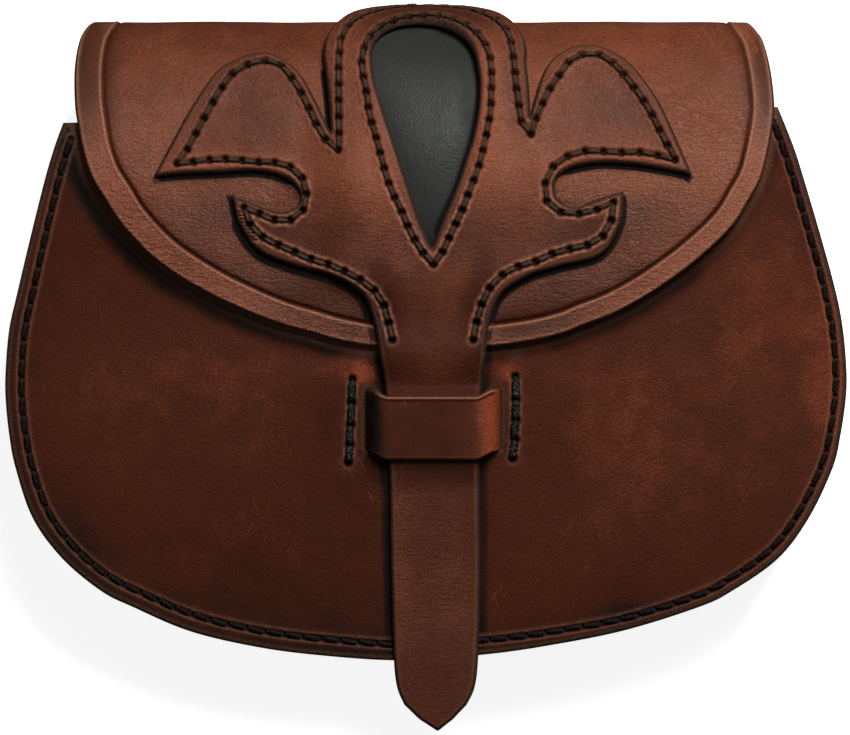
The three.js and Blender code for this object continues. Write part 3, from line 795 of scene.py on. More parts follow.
@dataclass
class ToolMarks:
    """Short parallel ridges pressed by a toothed wheel beside an edge.

    Args:
        start: Where the first ridge lies in the flat pattern.
        end: Where the last ridge lies.
        count: Number of ridges.
        length: Length of a ridge.
        lean: Turn of the ridges from square to the row, in degrees.
    """

    start: np.ndarray
    end: np.ndarray
    count: int = 9
    length: float = 2.0
    lean: float = 20.0

    def _ridges(self) -> tuple:
        """Lists the ends of the ridges.

        Returns:
            Where each ridge starts and where it ends.
        """
        middles = np.linspace(self.start, self.end, self.count)
        along = unit(self.end - self.start)
        half = turned(along, math.radians(90.0 - self.lean)) * self.length / 2.0
        return middles - half, middles + half

    def seeds(self) -> np.ndarray:
        """Places where the sheet needs mesh points to show the ridges.

        Returns:
            Points of the flat pattern.
        """
        starts, ends = self._ridges()
        shares = np.linspace(0.0, 1.0, 6)
        rows = [starts + (ends - starts) * share for share in shares]
        step = (self.end - self.start) / (self.count - 1) / 2.0
        return np.vstack([*rows, *(row + step for row in rows)])

    def shape(self, flat: np.ndarray) -> tuple:
        """Presses the ridges into a face and marks the leather pale between the presses, chafing
        with a painted highlight.

        Args:
            flat: Points of the pattern.

        Returns:
            The height added at each point, and the marks left there.
        """
        distance, _ = nearest_on(flat, *self._ridges())
        spacing = np.linalg.norm(self.end - self.start) / (self.count - 1)
        near = 1.0 - eased(distance, 0.6 * spacing, 1.1 * spacing)
        press = 1.0 - eased(distance, 0.1 * spacing, 0.5 * spacing)
        return -0.5 * press, {Mark.PRESSED_AND_CREVICE_SHADE: press, Mark.WEAR_AND_HIGHLIGHT: near * (1.0 - press)}


class Broad:
    """A work that is broader than the plain mesh is coarse."""

    def seeds(self) -> np.ndarray:
        """None: the plain mesh shows it."""
        return np.empty((0, 2))


@dataclass
class Swell(Broad):
    """Slow unevenness of a hand-worked hide, made of a few crossing waves.

    Args:
        height: Size of the unevenness.
        length: Length of the longest wave.
        seed: Picks one pattern of waves.
    """

    height: float = 0.12
    length: float = 55.0
    seed: int = 3

    def shape(self, flat: np.ndarray) -> tuple:
        """Raises and sinks a face a little.

        Args:
            flat: Points of the pattern.

        Returns:
            The height added at each point, and no marks.
        """
        chance = np.random.default_rng(self.seed)
        total = np.zeros(len(flat))
        for order in range(7):
            turn, phase = chance.uniform(0.0, 2.0 * math.pi, 2)
            wave = 2.0 * math.pi / (self.length / (1.0 + 0.55 * order))
            along = flat @ np.array([math.cos(turn), math.sin(turn)])
            total += np.sin(along * wave + phase) / (1.0 + 0.6 * order)
        return self.height * total / 2.2, {}


@dataclass
class Pillow(Broad):
    """A soft swelling inside a ring, as where a thin leather is backed with padding.

    Args:
        ring: The ring.
        height: Height of the swelling over all of the ring.
        reach: How far inside the ring it is full.
        crest: Station at which it swells most.
        crest_height: How much higher it is there.
        crest_reach: How far up and down from there it fades.
    """

    ring: np.ndarray
    height: float = 0.25
    reach: float = 9.0
    crest: float = 0.0
    crest_height: float = 0.8
    crest_reach: float = 28.0

    def shape(self, flat: np.ndarray) -> tuple:
        """Raises a face inside the ring.

        Args:
            flat: Points of the pattern.

        Returns:
            The height added at each point, and no marks.
        """
        distance, _ = nearest_on(flat, self.ring, np.roll(self.ring, -1, axis=0))
        within = np.where(is_inside(flat, [self.ring]), distance, 0.0)
        share = np.clip(within / self.reach, 0.0, 1.0)
        away = np.clip((flat[:, 1] - self.crest) / self.crest_reach, -1.0, 1.0)
        height = self.height + self.crest_height * np.cos(0.5 * math.pi * away) ** 2
        return height * np.sqrt(share * (2.0 - share)), {}


@dataclass
class Mound(Broad):
    """A soft rise where the leather is stretched over what lies under it.

    Args:
        middle: Its middle in the flat pattern.
        reach: How far it spreads across and along.
        height: Its height.
    """

    middle: np.ndarray
    reach: tuple = (8.0, 10.0)
    height: float = 0.7

    def shape(self, flat: np.ndarray) -> tuple:
        """Raises a face round the middle, and leaves no marks."""
        away = (flat - self.middle) / np.array(self.reach)
        return self.height * np.exp(-(away**2).sum(1)), {}


# ---- making meshes


def drawing_zero() -> np.ndarray:
    """Finds the drawing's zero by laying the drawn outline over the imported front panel.

    Returns:
        Its place in the frame, in millimetres.
    """
    low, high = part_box("front_panel")
    middle = (SHAPE.curve[:, 0].min() + SHAPE.curve[:, 0].max()) / 2.0
    across = (low.x + high.x) / 2.0 / METRES - middle
    return np.array([across, low.y / METRES - SHAPE.curve[:, 1].min(), 0.0])


ZERO = drawing_zero()


def turned_out(places: np.ndarray, faces: np.ndarray) -> np.ndarray:
    """Turns a closed mesh's triangles so that they all look outwards.

    Args:
        places: Points of the mesh.
        faces: Triangles, wound the same way all over.

    Returns:
        The triangles, turned over if they looked inwards.
    """
    first, second, third = (places[faces[:, corner]] for corner in range(3))
    volume = np.einsum("ij,ij->i", first, np.cross(second, third)).sum()
    return faces if volume > 0.0 else faces[:, ::-1]


def make_piece(
    name: str,
    places: np.ndarray,
    faces: list,
    marks: dict[Mark, np.ndarray],
    look: bpy.types.Material,
) -> bpy.types.Object:
    """Makes a smooth-shaded object from places in the drawing.

    Args:
        name: Name of the piece.
        places: Points of the mesh, in the drawing.
        faces: Its faces, each a list of points.
        marks: What each point remembers for the finish.
        look: The piece's material.

    Returns:
        The new object, riding on the bag.
    """
    mesh = bpy.data.meshes.new(name)
    mesh.from_pydata(((places + ZERO) * METRES).tolist(), [], faces)
    mesh.polygons.foreach_set("use_smooth", [True] * len(mesh.polygons))
    for mark, values in marks.items():
        layer = mesh.attributes.new(mark.value, "FLOAT", "POINT")
        layer.data.foreach_set("value", np.ascontiguousarray(values, np.float32))
    mesh.materials.append(look)
    mesh.validate()
    mesh.update()
    piece = bpy.data.objects.new(name, mesh)
    bpy.context.scene.collection.objects.link(piece)
    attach(piece, BODY)
    log.info("%s: %d points, %d faces", name, len(mesh.vertices), len(mesh.polygons))
    return piece


def triangulated(rings: list[np.ndarray], seeds: np.ndarray) -> tuple:
    """Fills a pattern with triangles between its rings, through loose points.

    Args:
        rings: The edge, anticlockwise, and the openings, clockwise.
        seeds: Loose points inside.

    Returns:
        The points, of which the rings' own come first, and the triangles, anticlockwise.
    """
    border = np.vstack(rings)
    steps, first = [], 0
    for ring in rings:
        own = np.arange(first, first + len(ring))
        steps += zip(own.tolist(), np.roll(own, -1).tolist())
        first += len(ring)
    points = np.vstack([border, seeds])
    made = delaunay_2d_cdt([Vector(point) for point in points], steps, [], 1, 1e-5)
    faces = np.array([face for face in made[2] if len(face) == 3])
    faces = np.array([old[0] if old else -1 for old in made[3]])[faces]
    faces = faces[(faces >= 0).all(1)]
    faces = faces[is_inside(points[faces].mean(1), rings)]
    first, second, third = (points[faces[:, corner]] for corner in range(3))
    one, two = second - first, third - first
    turned = one[:, 0] * two[:, 1] - one[:, 1] * two[:, 0] < 0.0
    faces[turned] = faces[turned][:, ::-1]
    return points, faces


@dataclass(frozen=True)
class Shading:
    """How dark a sheet is made down its length and towards its left: dye together with painted
    shade, where the lamps' light falls off towards the bottom and the left.

    Args:
        stops: Rows of height up the bag and darkness, 1 being deep: dye with painted shade as the
            light falls off.
        leftward: How much darker the left end is made than the right, a painted shade as the light
            comes from the right.
        pools: Spots made darker or, below 0, paler, partly dye and partly painted shadow and
            painted highlight: x, height, two reaches and depth.
        edges: How much darker it is made along the cut edges.
        edge_reach: How far from an edge that fades.
    """

    stops: tuple
    leftward: float = 0.0
    pools: tuple = ()
    edges: float = 0.0
    edge_reach: float = 9.0

    def depth(self, places: np.ndarray, to_edge: np.ndarray) -> np.ndarray:
        """Finds how dark each place is made, dye with painted shade.

        Args:
            places: Places of the drawing.
            to_edge: Distance from each to the nearest cut edge.

        Returns:
            The depth at each place.
        """
        x, up = places[:, 0], places[:, 1]
        heights, depths = zip(*sorted(self.stops))
        total = np.interp(up, heights, depths) - self.leftward * x / 200.0
        total += self.edges * np.exp(-to_edge / self.edge_reach)
        for east, north, across, along, more in self.pools:
            total += more * np.exp(-(((x - east) / across) ** 2) - ((up - north) / along) ** 2)
        return total


@dataclass
class LeatherSheet:
    """A cut sheet of leather with rounded edges, bent by a surface.

    Args:
        name: Name of the piece.
        edge: The outer ring of its flat pattern.
        surface: What bends the pattern into place.
        thickness: Thickness of the leather.
        under: Height of its under face above the surface.
        openings: Rings cut out of it.
        works: Seams, creases and other shapes worked into its face.
        round_over: How far the face's edge is rounded over.
        grid: Distance between the mesh points of its plain parts.
        burnish: Width of the dark burnished strip along its edges.
        rim: How pale the bend beside that strip is marked, from 0 to 1: chafing with a painted
            highlight.
        shading: How dark it is made over it: dye with painted shade and painted light.
    """

    name: str
    edge: np.ndarray
    surface: object
    thickness: float
    under: float = 0.0
    openings: list[np.ndarray] = field(default_factory=list)
    works: list = field(default_factory=list)
    round_over: float = 0.85
    grid: float = 2.2
    burnish: float = 0.45
    rim: float = 1.0
    shading: Shading = Shading(((0.0, 1.0),))

    def _rings(self) -> list[np.ndarray]:
        """Turns the edge anticlockwise and the openings clockwise.

        Returns:
            The edge and the openings.
        """
        edge = self.edge if ring_area(self.edge) > 0.0 else self.edge[::-1]
        openings = [ring if ring_area(ring) < 0.0 else ring[::-1] for ring in self.openings]
        return [edge, *openings]

    def _lattice(self, rings: list[np.ndarray], grid: float) -> np.ndarray:
        """Lays a triangular lattice over the pattern.

        Args:
            rings: The pattern's rings.
            grid: Distance between the lattice's points.

        Returns:
            The lattice's points inside the pattern.
        """
        low, high = rings[0].min(0), rings[0].max(0)
        rows = np.arange(low[1], high[1], grid * 0.866)
        columns = np.arange(low[0], high[0], grid)
        x, y = np.meshgrid(columns, rows)
        x = x + (np.arange(len(rows)) % 2)[:, None] * grid / 2.0
        points = np.column_stack([x.ravel(), y.ravel()])
        return points[is_inside(points, rings)]

    def _to_edge(self, flat: np.ndarray, rings: list[np.ndarray]) -> np.ndarray:
        """Distance from each point to the nearest cut edge."""
        after = [np.roll(ring, -1, axis=0) for ring in rings]
        return nearest_on(flat, np.vstack(rings), np.vstack(after))[0]

    def _seeds(self, rings: list[np.ndarray]) -> np.ndarray:
        """Chooses the mesh points of the grain face.

        Args:
            rings: The pattern's rings.

        Returns:
            Points inside the pattern.
        """
        chosen = np.vstack(rings)
        border = len(chosen)
        for share in (0.14, 0.38, 0.7, 1.1, 1.6):
            reach = share * self.round_over
            rows = np.vstack([ring + left_normals(ring, closed=True) * reach for ring in rings])
            rows = rows[is_inside(rows, rings) & (self._to_edge(rows, rings) > 0.92 * reach)]
            chosen = np.vstack([chosen, apart(rows, chosen, 0.11)])
        for work in self.works:
            seeds = work.seeds()
            if len(seeds):
                seeds = seeds[is_inside(seeds, rings) & (self._to_edge(seeds, rings) > 0.4)]
                chosen = np.vstack([chosen, apart(seeds, chosen, 0.2)])
        lattice = self._lattice(rings, self.grid)
        return np.vstack([chosen, apart(lattice, chosen, 0.6 * self.grid)])[border:]

    def build(self, look: bpy.types.Material) -> bpy.types.Object:
        """Makes the sheet: its grain face, its cut edges and its flesh side.

        Args:
            look: The sheet's material.

        Returns:
            The new object.
        """
        rings = self._rings()
        border = sum(len(ring) for ring in rings)
        grain, grain_faces = triangulated(rings, self._seeds(rings))
        coarse = apart(self._lattice(rings, 2.0 * self.grid), np.vstack(rings), self.grid)
        flesh, flesh_faces = triangulated(rings, coarse)

        to_edge = self._to_edge(grain, rings)
        to_edge[:border] = 0.0
        inner = np.clip(to_edge / self.round_over, 0.0, 1.0)
        drop = self.round_over * (1.0 - np.sqrt(np.clip(1.0 - (1.0 - inner) ** 2, 0.0, 1.0)))
        height = np.full(len(grain), self.thickness) - drop
        marks = {mark: np.zeros(len(grain)) for mark in Mark}
        fade = eased(to_edge, 0.0, 0.6)
        for work in self.works:
            added, left = work.shape(grain)
            height += added * fade
            for mark, values in left.items():
                blend = np.add if mark is Mark.SHADE else np.maximum
                marks[mark] = blend(marks[mark], values)
        # A pale rim beside the burnished strip: chafing with a painted highlight on the rounded
        # edge.
        rim = np.exp(-(((to_edge - 0.8 * self.round_over) / 0.28) ** 2))
        marks[Mark.WEAR_AND_HIGHLIGHT] = np.maximum(marks[Mark.WEAR_AND_HIGHLIGHT], self.rim * rim)
        marks[Mark.CUT] = 1.0 - eased(to_edge, 0.3 * self.burnish, self.burnish)

        normals = np.vstack([-left_normals(ring, closed=True) for ring in rings])
        wall = np.vstack(rings) + 0.09 * normals
        soft = 0.25
        rise = self.thickness - self.round_over - soft
        flesh_height = np.where(self._to_edge(flesh, rings) < 0.05, soft, 0.0)
        parts = [
            (grain, height),
            (wall, soft + 0.66 * rise),
            (wall, soft + 0.33 * rise),
            (flesh, flesh_height),
        ]
        starts = np.cumsum([0, len(grain), border, border])
        faces = [grain_faces, flesh_faces[:, ::-1] + starts[3]]
        first = 0
        for ring in rings:
            here = first + np.arange(len(ring))
            there = np.roll(here, -1)
            for upper, lower in zip(starts, starts[1:]):
                faces.append(np.column_stack([there + upper, here + upper, here + lower]))
                faces.append(np.column_stack([there + upper, here + lower, there + lower]))
            first += len(ring)
        places = np.vstack([self.surface.place(flat, self.under + up) for flat, up in parts])
        faces = turned_out(places, np.vstack(faces))
        beyond = np.zeros(len(places) - len(grain))
        total = {mark: np.concatenate([marks[mark], beyond]) for mark in Mark}
        total[Mark.CUT][starts[1] :] = 1.0
        total[Mark.CUT][starts[3] + border :] = 0.0
        total[Mark.FLESH_AND_PAINTED_FILL][starts[3] + border :] = 1.0
        # Dye depth with painted shade and painted light, from the sheet's shading.
        total[Mark.SHADE] += self.shading.depth(places, np.concatenate([to_edge, beyond]))
        return make_piece(self.name, places, faces.tolist(), total, look)


class Twist(Enum):
    """How many plies a thread is laid of."""

    FINE = 3
    CORD = 4


@dataclass
class Thread:
    """Twisted waxed thread sewn through a row of holes.

    Args:
        radius: Half the thread's thickness.
        crown: Height of a stitch's middle over the leather.
        dive: How deep its ends go into their holes.
        twist: The thread's plies.
        lay: Length of one full turn of a ply.
        ends: The mark painted on its ends: painted shade where they go down their holes, or with
            the mark of chafing and highlights a painted glint where they turn down.
        short: Share of a stitch's length missing at each end, where it has gone down its hole.
        slant: How far its ends lie to the two sides of the row.
    """

    radius: float = 0.5
    crown: float = 0.1
    dive: float = 1.0
    twist: Twist = Twist.FINE
    lay: float = 2.9
    ends: Mark = Mark.HOLE_SHADE
    short: float = 0.08
    slant: float = 0.0

    def sew(
        self,
        name: str,
        starts: np.ndarray,
        ends: np.ndarray,
        place: object,
        look: bpy.types.Material,
        seed: int = 5,
    ) -> bpy.types.Object:
        """Sews stitches, each from one hole to the next.

        Args:
            name: Name of the piece.
            starts: First hole of each stitch, in the flat pattern.
            ends: Second hole of each stitch.
            place: Turns pattern points and heights over the leather into places.
            look: The thread's material.
            seed: Picks the small unevenness of the stitches.

        Returns:
            The new object.
        """
        rings, sides = 17, 12
        chance = np.random.default_rng(seed)
        count = len(starts)
        starts = starts + chance.normal(0.0, 0.07, (count, 2))
        ends = ends + chance.normal(0.0, 0.07, (count, 2))
        share = np.linspace(self.short, 1.0 - self.short, rings)
        bow = np.sin(math.pi * np.linspace(0.03, 0.97, rings))
        along, across = ends - starts, left_of(ends - starts)
        drift = chance.normal(0.0, 0.10, (count, 1, 1)) * bow[None, :, None]
        drift = drift + self.slant * (1.0 - 2.0 * share)[None, :, None]
        flat = starts[:, None] + along[:, None] * share[None, :, None] + across[:, None] * drift
        crown = self.crown + chance.normal(0.0, 0.05, (count, 1))
        height = -self.dive + (crown + self.dive) * np.minimum(bow * 2.0, 1.0)[None] ** 0.7
        middle = place(flat.reshape(-1, 2), height.ravel()).reshape(count, rings, 3)
        above = place(flat.reshape(-1, 2), height.ravel() + 1.0).reshape(count, rings, 3)
        forward = unit(np.gradient(middle, axis=1))
        side = unit(np.cross(forward, above - middle))
        lift = np.cross(side, forward)
        turns = np.linspace(0.0, 2.0 * math.pi, sides, endpoint=False)
        length = np.linalg.norm(along, axis=1)[:, None, None]
        laid = 2.0 * math.pi * share[None, :, None] * length / self.lay
        phase = chance.uniform(0.0, 2.0 * math.pi, (count, 1, 1))
        plies = self.twist.value
        ply = np.abs(np.cos(0.5 * plies * (turns[None, None] - laid) + phase))
        taper = 0.62 + 0.38 * np.minimum(bow * 1.7, 1.0)[None, :, None]
        thick = self.radius * (0.70 + 0.34 * ply) * taper
        to_end = np.minimum(share, 1.0 - share)[None, :, None] * length
        painted_ends = np.broadcast_to(1.0 - eased(to_end, 0.5, 1.15), ply.shape)
        # Painted shade between the plies, and on the ends the ends' painted mark.
        marks = {Mark.PRESSED_AND_CREVICE_SHADE: (1.0 - ply**0.7).ravel(), self.ends: painted_ends.ravel()}
        spokes = side[:, :, None] * np.cos(turns)[None, None, :, None]
        spokes = spokes + lift[:, :, None] * np.sin(turns)[None, None, :, None] * 0.86
        places = (middle[:, :, None] + spokes * thick[..., None]).reshape(-1, 3)
        ring = np.arange(sides)
        one = ring_walls(rings, sides)
        bases = np.arange(count) * rings * sides
        faces = (bases[:, None, None] + one[None]).reshape(-1, 4).tolist()
        faces += (bases[:, None] + ring[::-1]).tolist()
        faces += (bases[:, None] + (rings - 1) * sides + ring).tolist()
        return make_piece(name, places, faces, marks, look)


# ---- finishes

Colour = tuple[float, float, float]
Socket = bpy.types.NodeSocket


class NodeBench:
    """Lays out the nodes of one material."""

    def __init__(self, name: str) -> None:
        """Starts a material with one shader joined to its output.

        Args:
            name: Name of the material.
        """
        self.material = bpy.data.materials.new(name)
        self.material.use_nodes = True
        self.tree = self.material.node_tree
        self.tree.nodes.clear()
        surface = self._node("BsdfPrincipled", "BSDF", {})
        self.shader = surface.node
        self._node("OutputMaterial", None, {"Surface": surface})
        self.place = self.stretched(self._node("TexCoord", "Object", {}), (1.0 / METRES,) * 3)

    def _feed(self, socket: bpy.types.NodeSocket, value: object) -> None:
        """Joins a socket to another, or sets its value.

        Args:
            socket: The socket.
            value: Another socket, a colour, a place or a number.
        """
        if isinstance(value, bpy.types.NodeSocket):
            self.tree.links.new(value, socket)
        elif isinstance(value, tuple) and socket.type == "RGBA":
            socket.default_value = (*value, 1.0)
        else:
            socket.default_value = value

    def _node(self, kind: str, output: object, inputs: dict, **settings: str) -> Socket:
        """Adds a node.

        Args:
            kind: Its type, without the usual prefix.
            output: Name or number of the output wanted, or None.
            inputs: Sockets or values for its inputs, by name or number.
            **settings: Its other settings.

        Returns:
            The output.
        """
        node = self.tree.nodes.new(f"ShaderNode{kind}")
        for name, value in settings.items():
            setattr(node, name, value)
        for name, value in inputs.items():
            self._feed(node.inputs[name], value)
        return node.outputs[output] if output is not None else None

    def stretched(self, place: Socket, scale: tuple, turn: float = 0.0) -> Socket:
        """Stretches coordinates along each axis, then turns them by degrees about the third."""
        inputs = {"Vector": place, "Rotation": (0.0, 0.0, math.radians(turn)), "Scale": scale}
        return self._node("Mapping", "Vector", inputs, vector_type="POINT")

    def noise(
        self, size: float, detail: float = 2.0, rough: float = 0.5, place: Socket | None = None
    ) -> Socket:
        """Cloudy noise from 0 to 1, whose largest clouds have a size in millimetres."""
        inputs = {"Scale": 1.0 / size, "Detail": detail, "Roughness": rough}
        return self._node("TexNoise", "Fac", inputs | {"Vector": place or self.place})

    def cells(self, size: float, place: Socket) -> Socket:
        """Rounded cells like the pebbles of grain, from 0 at a cell's middle to about 1."""
        inputs = {"Vector": place, "Scale": 1.0 / size, "Smoothness": 0.3}
        return self._node("TexVoronoi", "Distance", inputs, feature="SMOOTH_F1")

    def warped(self, size: float, amount: float) -> Socket:
        """Coordinates pushed about by noise.

        Args:
            size: Size of the noise in millimetres.
            amount: Largest push in millimetres.

        Returns:
            The new coordinates.
        """
        push = self._node("TexNoise", "Color", {"Vector": self.place, "Scale": 1.0 / size})
        inputs = {0: push, 1: (2.0 * amount,) * 3, 2: self.place}
        return self._node("VectorMath", "Vector", inputs, operation="MULTIPLY_ADD")

    def sum(self, first: object, second: object) -> Socket:
        """Adds two values."""
        return self._node("Math", "Value", {0: first, 1: second}, operation="ADD")

    def times(self, first: object, second: object) -> Socket:
        """Multiplies two values."""
        return self._node("Math", "Value", {0: first, 1: second}, operation="MULTIPLY")

    def between(
        self, value: object, low: float, high: float, start: float = 0.0, end: float = 1.0
    ) -> Socket:
        """Eases a result from start to end as a value goes from low to high."""
        inputs = {"Value": value, 1: low, 2: high, 3: start, 4: end}
        return self._node("MapRange", "Result", inputs, interpolation_type="SMOOTHSTEP")

    def mixed(self, share: object, first: object, second: object) -> Socket:
        """Mixes two colours by the share of the second."""
        return self._node("Mix", 2, {"Factor": share, 6: first, 7: second}, data_type="RGBA")

    def up(self) -> Socket:
        """Place up the bag, in millimetres."""
        return self._node("SeparateXYZ", "Y", {"Vector": self.place})

    def mark(self, mark: Mark) -> Socket:
        """Reads a mark that the mesh remembers."""
        return self._node("Attribute", "Fac", {}, attribute_name=mark.value)

    def relief(self, height: Socket) -> Socket:
        """Makes a surface direction for fine relief, from its height in millimetres."""
        inputs = {"Strength": 1.0, "Distance": METRES, "Height": height}
        return self._node("Bump", "Normal", inputs)

    def dress(self, inputs: dict) -> bpy.types.Material:
        """Sets the shader's inputs by their names and gives the material."""
        for name, value in inputs.items():
            self._feed(self.shader.inputs[name], value)
        return self.material


@dataclass(frozen=True)
class DyedLeather:
    """Waxed vegetable-tanned leather, unevenly dyed, darker at its pressed and cut places, with
    painted shade, painted shadows and painted highlights mixed into its colour.

    Args:
        name: Name of the finish.
        deep: Colour where the dye took most and where shade is painted.
        full: The usual colour.
        rubbed_and_highlight: Colour where it is scuffed or stretched, and of painted highlights.
        flesh: Colour of the rough underside, also of the painted paler fill in shadows.
        cut: Colour of the burnished cut edge.
        roughness: Usual roughness of the face.
        grain: Width of a grain pebble in millimetres.
        grain_height: Height of the pebbles in millimetres.
        crease_height: Height of the fine creases in millimetres.
        scuff: How strongly scuffs show, from 0 to 1.
        sheen: Strength of the highlights.
        tint: Colour of the highlights.
        mottle: How uneven the dye is.
        speckle: How strongly single pores and pebbles take the dye.
        dirt_and_painted_shade: Colour of dark specks, and of painted shadow in the darkest places.
        calm: Heights up the bag between which relief and shine grow fainter, if they do.
    """

    name: str
    deep: Colour
    full: Colour
    rubbed_and_highlight: Colour
    flesh: Colour = (0.16, 0.085, 0.05)
    cut: Colour = (0.026, 0.014, 0.009)
    roughness: float = 0.46
    grain: float = 0.75
    grain_height: float = 0.035
    crease_height: float = 0.05
    scuff: float = 0.5
    sheen: float = 0.2
    tint: Colour = (1.0, 0.88, 0.78)
    mottle: float = 1.0
    speckle: float = 0.3
    dirt_and_painted_shade: Colour = (0.0095, 0.0066, 0.0055)
    calm: tuple = ()

    def _colour(self, bench: NodeBench) -> Socket:
        """Mixes the dyed colour of the face.

        Args:
            bench: The material's nodes.

        Returns:
            The colour.
        """
        cloud = bench.between(bench.noise(48.0, detail=3.0, rough=0.5), 0.30, 0.70, 0.16, -0.16)
        blotch = bench.between(bench.noise(6.0, detail=4.0, rough=0.6), 0.35, 0.65, 0.07, -0.07)
        uneven = bench.times(bench.sum(cloud, blotch), self.mottle)
        # The shade mark is the dye's depth with painted shade; above 1 it paints shadow in the
        # darkest colour.
        share = bench.sum(bench.mark(Mark.SHADE), uneven)
        colour = bench.mixed(bench.between(share, 0.0, 1.0), self.full, self.deep)
        colour = bench.mixed(bench.between(share, 1.0, 2.0), colour, self.dirt_and_painted_shade)
        speck = bench.noise(0.5, detail=2.0, rough=0.6)
        dark = bench.times(bench.between(speck, 0.36, 0.54, 1.0, 0.0), self.speckle)
        colour = bench.mixed(dark, colour, self.dirt_and_painted_shade)
        light = bench.times(bench.between(speck, 0.48, 0.68), 0.4 * self.speckle)
        light = bench.times(light, bench.between(share, 0.4, 1.1, 1.0, 0.05))
        return bench.mixed(light, colour, self.rubbed_and_highlight)

    def _calmed(self, bench: NodeBench, value: Socket) -> Socket:
        """Makes a value fainter up the bag, where the finish says so."""
        if not self.calm:
            return value
        return bench.times(value, bench.between(bench.up(), *self.calm, 1.0, 0.4))

    def _scuffs(self, bench: NodeBench) -> Socket:
        """Draws fine scratches in two directions, in patches.

        Args:
            bench: The material's nodes.

        Returns:
            How strongly a scratch shows, from 0 to 1.
        """
        patch = bench.between(bench.noise(24.0, detail=2.0), 0.50, 0.68)
        lines = None
        for turn, width, length in ((66.0, 0.30, 9.0), (-58.0, 0.26, 6.0)):
            place = bench.stretched(bench.place, (1.0, 1.0, 1.0), turn)
            streaks = bench.stretched(place, (1.0 / length, 1.0 / width, 1.0 / length))
            line = bench.between(bench.noise(1.0, detail=1.0, place=streaks), 0.66, 0.74)
            lines = line if lines is None else bench.sum(lines, line)
        return bench.times(bench.times(lines, patch), self.scuff)

    def _relief(self, bench: NodeBench) -> Socket:
        """Builds the grain: pebbles, pores and fine creases.

        Args:
            bench: The material's nodes.

        Returns:
            Height in millimetres.
        """
        bent = bench.warped(1.6, 0.45)
        pebbles = bench.cells(self.grain, bent)
        dome = bench.between(pebbles, 0.05, 0.75, self.grain_height, 0.0)
        fine = bench.times(bench.noise(0.35, detail=2.0), 0.5 * self.grain_height)
        height = bench.sum(dome, fine)
        drawn = bench.stretched(bench.warped(5.0, 1.1), (1.0 / 2.8, 1.0 / 0.75, 1.0 / 1.2))
        folds = bench.between(bench.noise(1.0, detail=3.0, rough=0.6, place=drawn), 0.38, 0.62)
        patch = bench.between(bench.noise(30.0, detail=1.0), 0.38, 0.66, 0.25, 1.0)
        creases = bench.times(bench.times(folds, patch), self.crease_height)
        pressed_flat = bench.between(bench.mark(Mark.SHADE), 0.6, 0.95, 1.0, 0.5)
        height = bench.sum(height, bench.times(creases, pressed_flat))
        return self._calmed(bench, height)

    def material(self) -> bpy.types.Material:
        """Builds the finish.

        Returns:
            The material.
        """
        bench = NodeBench(self.name)
        colour = self._colour(bench)
        shown = bench.between(bench.mark(Mark.SHADE), 1.0, 1.8, 1.0, 0.15)
        scuffs = bench.times(self._scuffs(bench), shown)
        colour = bench.mixed(scuffs, colour, self.rubbed_and_highlight)
        fibre = bench.noise(0.45, detail=3.0, rough=0.7)
        # Pale chafing, with painted highlights on rims, lips and stitch shoulders.
        worn = bench.times(bench.mark(Mark.WEAR_AND_HIGHLIGHT), bench.between(fibre, 0.25, 0.6, 0.35, 0.95))
        colour = bench.mixed(worn, colour, self.rubbed_and_highlight)
        dark = tuple(0.45 * part for part in self.deep)
        colour = bench.mixed(bench.mark(Mark.PRESSED_AND_CREVICE_SHADE), colour, dark)
        # Holes are painted near black, a painted shade.
        colour = bench.mixed(bench.mark(Mark.HOLE_SHADE), colour, (0.004, 0.003, 0.003))
        raw = tuple(2.4 * part for part in self.cut)
        burnished = bench.mixed(bench.between(fibre, 0.40, 0.66), self.cut, raw)
        cut, flesh, shade = map(bench.mark, (Mark.CUT, Mark.FLESH_AND_PAINTED_FILL, Mark.SHADE))
        colour = bench.mixed(cut, colour, burnished)
        # The flesh side, and the painted paler fill in shadows, take the nap colour.
        nap = bench.mixed(bench.between(fibre, 0.35, 0.65), self.flesh, self.rubbed_and_highlight)
        colour = bench.mixed(flesh, colour, nap)
        uneven = bench.noise(3.5, detail=4.0, rough=0.6)
        rough = bench.between(uneven, 0.3, 0.7, self.roughness - 0.06, self.roughness + 0.07)
        rough = bench.sum(rough, bench.times(flesh, 0.35))
        rough = bench.sum(rough, bench.times(cut, 0.08))
        rough = bench.sum(rough, bench.between(shade, 0.6, 1.1, 0.0, 0.14))
        matt = bench.sum(bench.mark(Mark.PRESSED_AND_CREVICE_SHADE), bench.between(shade, 0.5, 1.7))
        shine = bench.between(matt, 0.0, 1.0, self.sheen, 0.12 * self.sheen)
        shine = self._calmed(bench, shine)
        return bench.dress(
            {
                "Base Color": colour,
                "Roughness": rough,
                "Normal": bench.relief(self._relief(bench)),
                "Specular IOR Level": shine,
                "Specular Tint": self.tint,
                "Coat Weight": 0.02,
                "Coat Roughness": 0.32,
            }
        )


